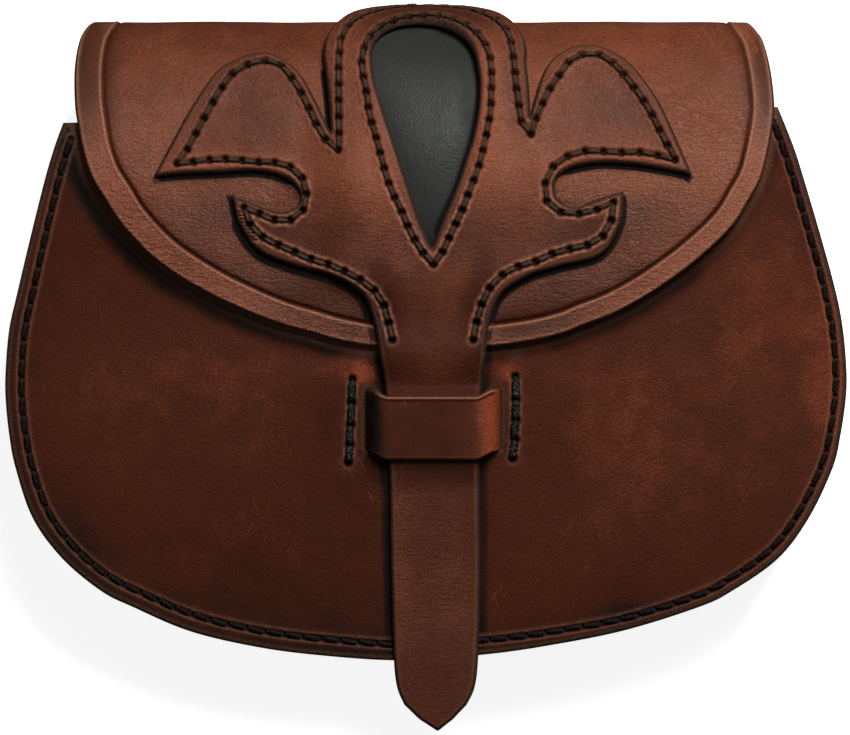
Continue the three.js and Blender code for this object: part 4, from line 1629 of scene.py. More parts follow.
@dataclass(frozen=True)
class WaxedThread:
    """Twisted linen thread drawn through dark wax.

    Args:
        name: Name of the finish.
        deep: Colour of the dark strands, and of the painted shade between the plies.
        light: Colour on top of the plies.
        worn: Colour where it is scuffed, and of painted glints at its ends.
        fleck: How rare the light strands are, from 0 to 1.
        strand: Width of a strand in millimetres.
        roughness: How dull the wax is.
    """

    name: str
    deep: Colour
    light: Colour
    worn: Colour = (0.045, 0.043, 0.042)
    fleck: float = 0.3
    strand: float = 0.22
    roughness: float = 0.5

    def material(self) -> bpy.types.Material:
        """Builds the finish.

        Returns:
            The material.
        """
        bench = NodeBench(self.name)
        strands = bench.noise(self.strand, detail=3.0, rough=0.7)
        patches = bench.noise(4.0, detail=2.0)
        share = bench.between(strands, self.fleck, self.fleck + 0.22)
        share = bench.times(share, bench.between(patches, 0.3, 0.7, 0.55, 1.0))
        colour = bench.mixed(share, self.deep, self.light)
        # Painted shade between the plies and in the holes, and painted glints where ends turn down.
        colour = bench.mixed(bench.times(bench.mark(Mark.PRESSED_AND_CREVICE_SHADE), 0.9), colour, self.deep)
        colour = bench.mixed(bench.times(bench.mark(Mark.WEAR_AND_HIGHLIGHT), 0.7), colour, self.worn)
        colour = bench.mixed(bench.mark(Mark.HOLE_SHADE), colour, (0.004, 0.003, 0.003))
        rough = bench.between(patches, 0.3, 0.7, self.roughness - 0.08, self.roughness + 0.1)
        inputs = {"Base Color": colour, "Roughness": rough, "Specular IOR Level": 0.06}
        return bench.dress(inputs | {"Normal": bench.relief(bench.times(strands, 0.07))})


@dataclass(frozen=True)
class TableTop:
    """Matt white table top, faintly lit from below."""

    name: str = "table_top"
    colour: Colour = (0.90, 0.90, 0.90)
    glow: float = 0.85

    def material(self) -> bpy.types.Material:
        """Builds the finish.

        Returns:
            The material.
        """
        bench = NodeBench(self.name)
        tone = bench.noise(140.0)
        paler = tuple(min(part * 1.02, 1.0) for part in self.colour)
        colour = bench.mixed(tone, self.colour, paler)
        inputs = {"Base Color": colour, "Roughness": bench.between(tone, 0.3, 0.7, 0.85, 0.95)}
        light = {"Emission Color": (1.0, 1.0, 1.0), "Emission Strength": self.glow}
        return bench.dress(inputs | light)


class Finishes:
    """All finishes of the bag."""

    def __init__(self) -> None:
        """Builds every finish once."""
        brown = {
            "deep": (0.060, 0.0140, 0.0062),
            "full": (0.215, 0.0570, 0.0250),
            "rubbed_and_highlight": (0.310, 0.1250, 0.0750),
        }
        redder = brown | {"full": (0.215, 0.0415, 0.0145)}
        self.flap = DyedLeather(
            "flap_hide",
            **brown,
            grain=0.55,
            grain_height=0.09,
            crease_height=0.32,
            sheen=0.26,
            mottle=0.6,
            calm=(48.0, 72.0),
        ).material()
        self.front = DyedLeather(
            "front_hide", **redder, grain=0.6, grain_height=0.1, scuff=0.22, sheen=0.05
        ).material()
        self.gusset = DyedLeather("gusset_hide", **brown, roughness=0.55, sheen=0.1).material()
        self.overlay = DyedLeather(
            "overlay_hide",
            **brown,
            grain=0.55,
            grain_height=0.06,
            crease_height=0.08,
            scuff=0.25,
            mottle=0.6,
            sheen=0.13,
        ).material()
        self.keeper = DyedLeather("keeper_hide", **redder, scuff=0.9, sheen=0.08).material()
        self.loop = DyedLeather("loop_hide", **brown, roughness=0.55).material()
        self.inlay = DyedLeather(
            "inlay_hide",
            deep=(0.024, 0.025, 0.022),
            full=(0.031, 0.032, 0.029),
            rubbed_and_highlight=(0.050, 0.051, 0.046),
            cut=(0.010, 0.010, 0.010),
            dirt_and_painted_shade=(0.0075, 0.0075, 0.0070),
            roughness=0.36,
            grain=0.55,
            grain_height=0.032,
            crease_height=0.02,
            scuff=0.1,
            sheen=0.09,
            tint=(0.95, 1.0, 0.9),
            speckle=0.15,
        ).material()
        linen = WaxedThread("brown_thread", (0.014, 0.008, 0.005), (0.085, 0.054, 0.034))
        black = WaxedThread("black_thread", (0.003, 0.002, 0.002), (0.010, 0.007, 0.007))
        cord = WaxedThread(
            "waxed_cord",
            deep=(0.003, 0.003, 0.003),
            light=(0.085, 0.090, 0.066),
            worn=(0.100, 0.060, 0.042),
            fleck=0.47,
            strand=0.5,
        )
        self.thread, self.black_thread = linen.material(), black.material()
        self.cord = cord.material()


# ---- the bag's pieces


def over_face(surface: object, thickness: float) -> object:
    """Makes what places points over the face of a sheet on a surface."""
    return lambda flat, height: surface.place(flat, height + thickness)


def stitch_row(points: list, count: int) -> np.ndarray:
    """Spaces the holes of a number of stitches evenly on a smooth line through points."""
    fine = smooth_line(points, 0.2)
    return spaced(fine, runs_of(fine)[-1] / count)


def cut_corners(start: tuple, end: tuple, corner: float, step: float) -> np.ndarray:
    """Draws a rectangle with its corners cut off.

    Args:
        start: One corner.
        end: The opposite corner.
        corner: How much of a corner is cut off.
        step: Distance between the points given back.

    Returns:
        Its ring, which starts along the first axis.
    """
    (x0, y0), (x1, y1) = start, end
    x_cut, y_cut = math.copysign(corner, x1 - x0), math.copysign(corner, y1 - y0)
    first = [(x0 + x_cut, y0), (x1 - x_cut, y0), (x1, y0 + y_cut), (x1, y1 - y_cut)]
    last = [(x1 - x_cut, y1), (x0 + x_cut, y1), (x0, y1 - y_cut), (x0, y0 + y_cut)]
    return spaced(np.array([*first, *last, first[0]]), step)[:-1]


def half_ellipse(
    x: float, across: float, base: float, turn: float, lean: float = 0.0
) -> list[tuple[float, float]]:
    """Draws half an ellipse over the fold, from its left end to its right end.

    Args:
        x: Middle of the ellipse.
        across: Half its width.
        base: Station of its two ends.
        turn: Turn of the fold at its top, in degrees.
        lean: How far its top leans sideways.

    Returns:
        Points of the curve in the flat pattern.
    """
    rise = base - FOLD.turn_station(turn)
    angles = np.linspace(math.pi, 0.0, 15)
    return [
        (x + across * math.cos(a) + lean * math.sin(a), base - rise * math.sin(a)) for a in angles
    ]


@dataclass
class FrontPanel:
    """The domed front, sewn round its edge, with two slits for the keeper."""

    thickness: float = 2.5
    stitch: float = 4.72
    slit_top: float = -5.8
    slit_bottom: float = -20.8
    slits: tuple = ((-15.2, -12.8), (16.1, 18.4))
    # The holes of the two cords that hold the keeper's ends.
    cords: tuple = (
        ((-18.5, -3), (-18.7, -9), (-19, -14.5), (-19.2, -19.6), (-19.5, -24)),
        ((22.1, -2.4), (22.3, -8.2), (22.3, -13.3), (22.1, -18.2), (21.6, -22.9)),
    )
    puckers: tuple = ((-17.6, 0.2), (21.5, 0.8))
    # The two lines along the strap's sides where painted shade lies on the panel.
    strap_sides: tuple = (
        ((-11.4, 6), (-10, -24), (-9.2, -53), (-8.2, -76)),
        ((14.8, 6), (13.6, -24), (13.8, -53), (12.9, -76)),
    )
    # Painted shadow under the flap's edge, lightened near it by a painted paler fill: from x to x,
    # and its reach, depth, softness and mark.
    hem_painted_shade: tuple = (
        (-99, 99, 5, 0.4, 0.6, Mark.SHADE), (-99, 99, 2.8, 0.3, 1, Mark.FLESH_AND_PAINTED_FILL),
        (-99, -12, 3.2, 0.6, 1, Mark.FLESH_AND_PAINTED_FILL), (-99, -25, 7.4, 0.6, 0.5, Mark.SHADE),
        (34, 64, 7, 0.4, 0.5, Mark.SHADE),
    )
    # Each stop: height and depth of the dye with painted shade, darker towards the bottom.
    stops: tuple = ((30, 0.83), (-30, 0.9), (-50, 1.0), (-72, 1.35))
    # Each pool of dye and painted shade, below 0 painted light: x, height, its reach across and up,
    # and how much deeper it is.
    pools: tuple = (
        (-15.8, -2.2, 3.4, 2.4, -1.1), (20.2, -1.4, 3, 2.2, -0.9), (-60, 1, 36, 8, -0.2),
        (-84, -44, 12, 14, 0.3), (-24, -12, 6, 9, 0.2), (-40, -50, 20, 16, 0.25),
        (-103, -22, 6, 26, 0.3), (-48, -66, 36, 6, -0.12), (53, -62, 18, 4, 0.5),
        (45, -50, 26, 12, 0.15), (80, -34, 12, 14, 0.2), (52, -28, 10, 12, -0.1),
        (34, -16, 12, 12, 0.1), (58, -18, 8, 14, -0.12), (103, -6, 7, 34, -0.55),
        (-22, 0, 7, 3, -0.35), (36, -61, 16, 4, -0.2), (-77, 42, 12, 16, 0.5),
    )

    def build(self, looks: Finishes) -> None:
        """Cuts, sews and sets the panel.

        Args:
            looks: The finishes.
        """
        edge = np.vstack([SHAPE.curve[::2], SHAPE.curve[-1:]])
        mouth = spaced(np.array([SHAPE.right_corner, SHAPE.left_corner]), 1.2)
        seam = Seam([SHAPE.seam_line(self.stitch)], hole=0.5, depth=0.5, bed=0.4, pale_shoulders=0.35)
        cords = Seam([np.array(row) for row in self.cords], hole=0.9, bed=0.8, pale_shoulders=0.5)
        hem = BackAndFlap().hem()
        # Painted shadow under the flap and beside the strap, with a painted paler fill close under
        # the flap.
        dirt_and_painted_shade = [
            PaintedShadeBand(hem[(hem[:, 0] > west) & (hem[:, 0] < east)], *rest)
            for west, east, *rest in self.hem_painted_shade
        ]
        dirt_and_painted_shade += [PaintedShadeBand(spaced(np.array(line), 1.0), 2.2, 0.7) for line in self.strap_sides]
        puckers = [Mound(np.array(spot), (3.5, 2.5), 0.8) for spot in self.puckers]
        sheet = LeatherSheet(
            name="front_panel_leather",
            edge=joined([np.vstack([edge, edge[-1:]]), mouth]),
            surface=PANEL,
            thickness=self.thickness,
            under=-self.thickness,
            openings=[
                cut_corners((west, self.slit_top), (east, self.slit_bottom), 0.5, 0.7)
                for west, east in self.slits
            ],
            works=[seam, cords, *dirt_and_painted_shade, *puckers, Swell(height=0.16, length=70.0, seed=11)],
            grid=2.4,
            burnish=1.5,
            rim=0.3,
            shading=Shading(self.stops, 0.3, self.pools, edges=0.5),
        )
        panel = sheet.build(looks.front)
        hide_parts("front_panel")
        # The seam's thread ends are painted pale, a painted glint where they turn down.
        black = Thread(radius=0.72, dive=0.7, ends=Mark.WEAR_AND_HIGHLIGHT, short=0.13, slant=0.25)
        thread = black.sew("front_seam_thread", *seam.stitches(), PANEL.place, looks.black_thread)
        # The cords' ends are painted dark, a painted shade in their holes.
        cord = Thread(1.05, crown=0.35, dive=1.3, twist=Twist.CORD, lay=4.2, ends=Mark.PRESSED_AND_CREVICE_SHADE)
        sewn = cord.sew("keeper_cord", *cords.stitches(), PANEL.place, looks.cord, seed=8)


@dataclass
class Gusset:
    """The strip between front and back, with both its borders turned out into the seams."""

    thickness: float = 2.0
    back_face: float = 10.7
    front_face: float = 42.0
    edge: float = 0.3
    inset: float = 7.0
    bow: float = 1.0
    bend: float = 3.0

    def _section(self) -> tuple:
        """Draws the strip's section, from the front border round to the back one and home.

        Returns:
            Points as inset and height, and which of them are on the flesh side.
        """
        low, high, thick = self.back_face, self.front_face, self.thickness
        middle = (low + high) / 2.0
        deep = self.inset + thick
        turn, face = self.bend - thick, self.inset
        flesh = rounded_corners([
            (self.edge, high, 0.0), (deep, high, self.bend), (deep - self.bow, middle, 30.0),
            (deep, low, self.bend), (self.edge, low, 0.0),
        ])
        grain = rounded_corners([
            (self.edge, low + thick, 0.0), (face, low + thick, turn),
            (face - self.bow, middle, 32.0), (face, high - thick, turn),
            (self.edge, high - thick, 0.0),
        ])
        flesh, grain = spaced(flesh, 1.6), spaced(grain, 1.6)
        return np.vstack([flesh, grain]), np.arange(len(flesh) + len(grain)) < len(flesh)

    def build(self, looks: Finishes) -> None:
        """Sweeps the strip round the body.

        Args:
            looks: The finishes.
        """
        section, is_flesh = self._section()
        step = 1.6
        path = spaced(SHAPE.curve, step)
        inward = left_normals(path, closed=False)
        middle = (self.back_face + self.front_face) / 2.0
        reach = (self.front_face - self.back_face) / 2.0 - self.thickness
        web = 1.0 - np.clip(np.abs(section[:, 1] - middle) / reach, 0.0, 1.0) ** 2
        run = np.arange(len(path)) * step
        wave = np.sin(run / 9.0) + 0.7 * np.sin(run / 4.1 + 1.0) + 0.5 * np.sin(run / 15.0 + 2.0)
        inset = section[None, :, 0] + 0.22 * wave[:, None] * web[None]
        flat = path[:, None] + inward[:, None] * inset[..., None]
        height = np.broadcast_to(section[None, :, 1:], (*flat.shape[:2], 1))
        places = np.concatenate([flat, height], axis=2).reshape(-1, 3)
        sides = len(section)
        side, walls = np.arange(sides), ring_walls(len(path), sides)
        triangles = np.vstack([walls[:, [0, 1, 2]], walls[:, [0, 2, 3]]])
        faces = [*walls.tolist(), side[::-1].tolist(), ((len(path) - 1) * sides + side).tolist()]
        if not np.array_equal(turned_out(places, triangles), triangles):
            faces = [face[::-1] for face in faces]
        cut = np.tile(1.0 - eased(section[:, 0], 0.3, 1.2), len(path))
        flesh = np.tile(is_flesh.astype(float), len(path)) * (1.0 - cut)
        shade = np.full(len(places), 0.85)
        marks = {Mark.CUT: cut, Mark.WEAR_AND_HIGHLIGHT: cut, Mark.FLESH_AND_PAINTED_FILL: flesh, Mark.SHADE: shade}
        gusset = make_piece("gusset_leather", places, faces, marks, looks.gusset)
        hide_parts("gusset")


@dataclass
class BackAndFlap:
    """One hide that makes the back, turns over the fold and comes down as the flap."""

    thickness: float = 2.4
    stitch: float = 4.72
    neck_left: tuple = (-86.6, 61.8)
    neck_right: tuple = (86.2, 65.3)
    bottom: tuple = (1.5, 4.6)
    crease_grows: tuple = (72.0, 42.0)
    # Each row: share of the flap's edge, and the crease's distance from it there.
    crease_inset: tuple = ((0, 7.2), (0.25, 7.2), (0.42, 5.7), (0.6, 5.5), (0.8, 5.7), (1, 5.8))
    # Each row: turn round the fold in degrees, left edge, right edge.
    fold_rows: tuple = (
        (180, -86, 85.4), (150, -85.4, 83.2), (120, -84.6, 81.5), (90, -84.2, 81.2),
        (64, -85.8, 82.6), (48, -87.1, 84.4), (29, -88, 86),
    )
    # Each row: height, left edge, right edge, seen from the front.
    flap_rows: tuple = (
        (66.6, -87.8, 86.8), (61.1, -87.1, 86.5), (54, -85.8, 85.2), (47.2, -83.5, 83.4),
        (41.9, -80.3, 80.6), (34.6, -75.4, 75.9), (26.1, -66.8, 66.8), (18.9, -55.5, 56.8),
        (13.6, -44.3, 47.5), (10.4, -35.8, 39.3), (8.6, -29, 35), (6.6, -22, 27.3),
        (5, -12.3, 15.5),
    )
    # Each stop: height and depth of the dye with painted shade, darker down the flap and at the
    # fold's top.
    stops: tuple = ((86, 0.5), (76, 0.4), (45, 0.36), (30, 0.5), (18, 0.66), (5, 0.72))
    # Each pool of dye and painted shade, below 0 painted light: x, height, its reach across and up,
    # and how much deeper it is.
    pools: tuple = (
        (-26, 19, 12, 4, 0.5), (-42, 15, 22, 9, -0.25), (36, 24, 14, 7, 0.15), (24, 11, 12, 5, 0.3),
        (62, 24, 8, 8, -0.2), (47, 41, 18, 8, 0.3), (70, 52, 16, 22, -0.2), (70, 74, 14, 9, 0.18),
        (84, 58, 4, 14, 0.25), (-84, 58, 4, 12, 0.15), (-33, 11, 11, 4.5, 0.4),
        (36, 11.5, 13, 5, 0.35), (-17, 9, 6, 4, 0.35), (21, 9, 7, 4, 0.35), (60, 38, 12, 10, 0.15),
        (-48, 38, 12, 8, 0.2), (-50, 30, 6, 5, -0.15), (48, 45, 16, 4, -0.25),
        (-86, 78, 5, 17, 1.2), (86, 76, 5, 18, 1.2), (-32, 80, 14, 8, 0.2), (34, 80, 14, 7, 0.2),
    )

    def _flap_line(self) -> np.ndarray:
        """Draws the flap's edge from the back, over the fold, round the flap and back up.

        Returns:
            Points of the flat pattern.
        """

        def down(column: int) -> list[tuple[float, float]]:
            """Lists the edge's points on one side, from the back to the lower edge.

            Args:
                column: The side's column in the rows.

            Returns:
                Points of the flat pattern.
            """
            fold = [(row[column], FOLD.turn_station(row[0])) for row in self.fold_rows]
            flap = [(row[column], float(FOLD.station_of(row[0], 0.0))) for row in self.flap_rows]
            return fold + flap

        lowest = (self.bottom[0], float(FOLD.station_of(self.bottom[1], 0.0)))
        return smooth_line([*down(1), lowest, *down(2)[::-1]], 1.1)

    def hem(self) -> np.ndarray:
        """Finds where the flap's edge lies over the front panel.

        Returns:
            The edge's places, as x and height up the bag.
        """
        line = self._flap_line()
        places = FOLD.place(line, np.zeros(len(line)))[:, :2]
        return places[(places[:, 1] < 66.0) & (line[:, 1] > FOLD.length / 2.0)]

    def build(self, looks: Finishes) -> None:
        """Cuts, creases, folds and sews the hide.

        Args:
            looks: The finishes.
        """
        flap = self._flap_line()
        to_pattern = np.array([0.0, -FOLD.bend_up])
        body = np.vstack([SHAPE.curve[::2], SHAPE.curve[-1:]]) + to_pattern
        right = np.array([body[-1], np.array(self.neck_right) + to_pattern, flap[-1]])
        left = np.array([flap[0], np.array(self.neck_left) + to_pattern, body[0]])
        ring = joined([body, spaced(right, 0.8), flap[::-1], spaced(left, 0.8)])
        inset = np.interp(np.linspace(0.0, 1.0, len(flap)), *zip(*self.crease_inset))
        line = flap - left_normals(flap, closed=False) * inset[:, None]
        grows = FOLD.station_of(np.array(self.crease_grows), 0.0)
        crease = Crease(line[14:-14], grows=tuple(grows))
        seam = Seam([SHAPE.seam_line(self.stitch) + to_pattern])
        # Painted shadows cast by the overlay's edges on the flap.
        dirt_and_painted_shade = Overlay().painted_edge_shadows()
        sheet = LeatherSheet(
            name="back_and_flap_leather",
            edge=ring,
            surface=FOLD,
            thickness=self.thickness,
            under=-self.thickness,
            works=[crease, seam, *dirt_and_painted_shade, Swell(height=0.14, length=48.0, seed=4)],
            round_over=0.95,
            grid=2.5,
            shading=Shading(self.stops, 0.3, self.pools),
        )
        hide = sheet.build(looks.flap)
        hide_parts("back_and_flap")
        black, stitches = Thread(radius=0.6), seam.stitches()
        thread = black.sew("back_seam_thread", *stitches, FOLD.place, looks.black_thread, seed=6)


@dataclass
class Overlay:
    """The scroll-shaped overlay sewn on the flap; its tail is the strap.

    The rows give an edge's places seen from the front, as x and height up the bag.
    """

    thickness: float = 2.7
    stem: tuple = (
        ((-25.5, 75.9), (24.9, 76.4)), ((-24.9, 70.9), (25.4, 71.9)), ((-24.3, 64.9), (25.7, 67.4)),
        ((-23.9, 58.6), (25.9, 62.4)),
    )
    wing: tuple = (
        ((-23.9, 58.6), (25.9, 62.4)), ((-27.9, 67.1), (27.5, 68.9)), ((-31.8, 73.9), (30.2, 75.8)),
        ((-37.5, 78.2), (35.2, 80)), ((-41.5, 79), (39.8, 81)), ((-45.5, 78.2), (44, 80.5)),
        ((-52, 74.6), (50.6, 76.6)), ((-57.2, 67.4), (56.8, 68.5)), ((-61.2, 60.4), (60.5, 61.2)),
        ((-67.9, 47.5), (66.1, 48)),
    )
    bay: tuple = (
        ((-67.9, 47.5), (66.1, 48)), ((-61.5, 48.2), (60.4, 49.2)), ((-51.5, 48.6), (52.5, 50.5)),
        ((-42, 48.9), (43, 51)), ((-35, 47.1), (35.9, 49.6)), ((-31.5, 43.6), (32.2, 46.6)),
        ((-32.2, 39.9), (32.6, 42)), ((-37, 38.6), (36.8, 39.6)), ((-42.8, 40.4), (41.8, 41.5)),
        ((-48.4, 42.6), (49, 43.8)),
    )
    hook: tuple = (
        ((-48.4, 42.6), (49, 43.8)), ((-46.8, 36.1), (48.4, 35.9)), ((-41.8, 29), (43.5, 28)),
        ((-32.8, 25.2), (33.5, 25.1)), ((-23.2, 22.6), (25.2, 22.5)), ((-16, 18.1), (18.6, 18)),
        ((-13, 10.6), (15.6, 10.6)), ((-11.6, 3), (14.7, 3)), ((-10.4, -4.9), (13.8, -4.9)),
        ((-9.3, -25.6), (13.2, -25.6)), ((-8.8, -53.1), (13.4, -53.1)),
        ((-7.8, -76.9), (12.5, -76.9)), ((-5.5, -84.4), (10, -84.4)),
    )
    tip: tuple = ((-1.8, -88.0), (2.8, -91.0), (6.5, -88.1))
    # Each row: height, left edge, right edge of the teardrop window.
    window: tuple = (
        (76.9, -13.6, 12.5), (71.9, -13, 13.2), (66.9, -11.6, 13.1), (61.9, -10.1, 12.5),
        (56.9, -8.4, 11.4), (51.9, -6.8, 9.8), (46.9, -5.2, 8.2), (41.9, -3.6, 6.3),
        (36.9, -1.9, 4.2), (31.9, 0.2, 2.3),
    )
    window_tip: tuple = (1.3, 29.6)
    mounds: tuple = ((-18.5, 45.5), (22.5, 45.5))
    left_marks: tuple = ((-46.6, 38.6), (-43.3, 31.6))
    right_marks: tuple = ((39.8, 40.6), (45.0, 42.6))
    # Heights of the painted shadow under the keeper and of the painted shade above it.
    keeper_painted_shade: tuple = (-26.5, -6.0)
    window_turn: float = 55.5
    window_lean: float = -1.6
    arch_turn: float = 34.0
    # Stitch rows, each with its number of stitches.
    left_wing_row: tuple = (
        ((-22, 53.9), (-24.5, 55.6), (-27.3, 59.9), (-30.8, 67.4), (-33.1, 71.1), (-35.5, 74.8),
        (-39.5, 76.6), (-44, 75.9), (-48.3, 73.5), (-51.1, 69.8), (-55.5, 62.1), (-60, 53.6),
        (-62.3, 50.6)), 15,
    )
    left_bay_row: tuple = (
        ((-62.3, 50.6), (-57.8, 51), (-53, 51.6), (-48.6, 51.6), (-44.3, 51.1), (-40.5, 50.8),
        (-36, 50.6), (-32.5, 48.6), (-30.3, 45.6), (-30, 42.4), (-30.9, 38.9), (-34, 36.4),
        (-38.3, 36.6), (-42.3, 38.4), (-45.5, 39.6)), 14,
    )
    left_hook_row: tuple = (
        ((-45.5, 39.6), (-43.8, 35.1), (-40.1, 31.6), (-36.1, 29.9), (-31.6, 27.9), (-27.3, 26.1),
        (-22.9, 24.9), (-19.1, 22.9), (-15.4, 20.9), (-12.6, 18.4), (-10.5, 14.9), (-9.5, 11.1),
        (-8.5, 6.6)), 12,
    )
    right_wing_row: tuple = (
        ((26, 57.9), (27.5, 62.6), (29.1, 66.1), (31, 69.9), (33.3, 73.3), (35.5, 76.4),
        (39.3, 78.3), (44, 77.9), (47.5, 74.9), (50.6, 71.3), (55.3, 64.4), (59, 57), (62, 51.5)),
        15,
    )
    right_bay_row: tuple = (
        ((62, 51.5), (57.9, 52.6), (53, 53.4), (48.5, 53.3), (43.5, 53.6), (39, 53.6), (35.3, 52.5),
        (32, 50.4), (29.8, 46.6), (29.4, 42.1), (32.3, 38.9), (36, 38), (40.8, 38.6), (46.5, 41)),
        13,
    )
    right_hook_row: tuple = (
        ((46.5, 41), (45.8, 35.6), (43.3, 31.9), (39, 29.8), (33.8, 28.9), (29.8, 27.4),
        (25.5, 25.4), (21.3, 24.4), (18, 22), (15.3, 18.9), (13.5, 14.9), (12.4, 10.9),
        (11.6, 6.6)), 12,
    )
    left_stem_row: tuple = (
        (-22, 53.9), (-21.9, 58.8), (-22, 63.9), (-22, 68.1), (-22, 72.6), (-22, 76.4),
    )
    right_stem_row: tuple = (
        (21.6, 77.6), (22, 73.8), (22.4, 69.4), (23, 64.9), (23.8, 60.1), (26, 57.9),
    )
    left_window_row: tuple = (
        (1.7, 25.4), (0.3, 26.6), (-2.4, 30.5), (-4.8, 35.1), (-6.6, 39.4), (-8.7, 43.6),
        (-10.3, 48.2), (-11.6, 53.1), (-12.8, 57.7), (-14.3, 62.6), (-14.9, 67.3), (-15.6, 71.4),
        (-16.3, 75),
    )
    right_window_row: tuple = (
        (16.1, 74.5), (16.1, 70.1), (16, 65.4), (15.5, 61.3), (14.7, 57), (13.8, 53.1),
        (12.5, 48.4), (10.8, 44.2), (9.2, 39.8), (7.2, 35.4), (5.3, 31.4), (3.1, 26.9), (1.7, 25.4),
    )
    # Each pool of dye and painted shade, below 0 painted light: x, height, its reach across and up,
    # and how much deeper it is.
    pools: tuple = (
        (-45, 64, 14, 16, 0.26), (45, 66, 14, 16, 0.28), (-50, 49.8, 18, 3, -0.4),
        (50, 51, 18, 3, -0.45), (-21, 66, 6, 15, 0.08), (22.5, 66, 4, 14, 0.25),
        (15, 64, 3, 16, -0.45), (-7.5, -50, 3, 26, -0.3), (2, -1, 12, 4, -0.2),
        (1, -77, 10, 8, 0.25), (-42, 33, 9, 8, 0.3), (44, 34, 9, 8, 0.22),
        (-14.5, 52, 7, 10, -0.28), (-11, 40, 5, 10, -0.15), (7.5, 39, 4, 9, 0.2),
        (19.5, 55, 6, 12, -0.18), (0, 91, 27, 8, 0.6), (-8, 27, 6, 9, -0.2), (9, 21, 6, 8, -0.25),
        (-11, 12, 4, 12, 1.1), (14, 12, 4, 11, 1.1),
    )
    # Each stop: height and depth of the dye with painted shade.
    stops: tuple = ((75, 0.49), (45, 0.42), (33, 0.69), (8, 0.83), (-5, 0.9), (-60, 0.78))

    def _side(self, rows: tuple, side: int) -> np.ndarray:
        """Draws one side of an edge, smoothly through its rows."""
        return smooth_line(OVER.develop([row[side] for row in rows]), 0.9)

    def _edge(self) -> np.ndarray:
        """Draws the overlay's outer ring.

        Returns:
            Its ring in the flat pattern.
        """
        arch = half_ellipse(-0.4, 25.4, FOLD.turn_station(self.arch_turn), 86.0)
        stems = [OVER.develop([row[side] for row in self.stem]).tolist() for side in (0, 1)]
        head = smooth_line([*stems[1][::-1], *arch[::-1], *stems[0]], 0.9)
        left = [self._side(rows, 0) for rows in (self.wing, self.bay, self.hook)]
        right = [self._side(rows, 1)[::-1] for rows in (self.hook, self.bay, self.wing)]
        corners = [self.hook[-1][0], *self.tip, self.hook[-1][1]]
        return joined([head, *left, spaced(OVER.develop(corners), 0.7), *right])

    def painted_edge_shadows(self) -> list[PaintedShadeBand]:
        """Paints shadow along the edges that face down the flap or to its left, shifted as their
        cast shadow falls.

        Returns:
            The painted shadows, on the flap's flat pattern.
        """
        left, right = 0, 1
        edges = [
            (self.stem, left, 2, (-0.3, 0.0), 0.9), (self.bay[:5], left, 2, (-0.1, 0.6), 0.85),
            (self.hook[:-4], left, 1, (-0.3, 0.4), 0.9),
            (self.hook[:-4], left, 7, (-0.5, 0.8), 1.4),
            (self.bay[:5], right, 2, (-0.1, 0.6), 0.85),
            (self.hook[:-4], right, 2, (0.1, 0.7), 0.9),
        ]
        return [
            PaintedShadeBand(self._side(rows, side)[skip:] + np.array(lean), reach, 2.8, soft=0.35)
            for rows, side, skip, lean, reach in edges
        ]

    def window_ring(self) -> np.ndarray:
        """Draws the teardrop window.

        Returns:
            Its ring in the flat pattern.
        """
        left = OVER.develop([(west, up) for up, west, _ in self.window])
        right = OVER.develop([(east, up) for up, _, east in self.window])
        middle, half = (left[0, 0] + right[0, 0]) / 2.0, (right[0, 0] - left[0, 0]) / 2.0
        head = half_ellipse(middle, half, left[0, 1], self.window_turn, self.window_lean)
        tip = OVER.develop([self.window_tip])
        ring = [*tip, *left[::-1], *head[1:-1], *right, *tip]
        return smooth_line(ring, 0.8)[:-1]

    def _rows(self) -> list[np.ndarray]:
        """Spaces the holes of every stitch row but the window's.

        Returns:
            The rows.
        """
        left = [self.left_wing_row, self.left_bay_row, self.left_hook_row]
        right = [self.right_wing_row, self.right_bay_row, self.right_hook_row]
        holes = [stitch_row(OVER.develop(points), count) for points, count in left + right]
        arch = half_ellipse(-0.3, 21.6, FOLD.turn_station(self.arch_turn), 75.0)
        left, right = OVER.develop(self.left_stem_row), OVER.develop(self.right_stem_row)
        return [*holes, stitch_row([*left, *arch[1:-1], *right], 26)]

    def _window_row(self) -> np.ndarray:
        """Spaces the holes round the window.

        Returns:
            The holes, from the teardrop's point round to it again.
        """
        left, right = OVER.develop(self.left_window_row), OVER.develop(self.right_window_row)
        top = half_ellipse(-0.1, 16.25, left[-1, 1], 59.5, -0.6)
        return stitch_row([*left, *top[1:-1], *right], 40)

    def build(self, looks: Finishes) -> None:
        """Cuts, works, sews and sets the overlay.

        Args:
            looks: The finishes.
        """
        grows = OVER.develop([(0.0, 55.0), (0.0, 40.0)])[:, 1]
        seam = Seam([*self._rows(), self._window_row()], hole=0.8, depth=1.2, grows=tuple(grows))
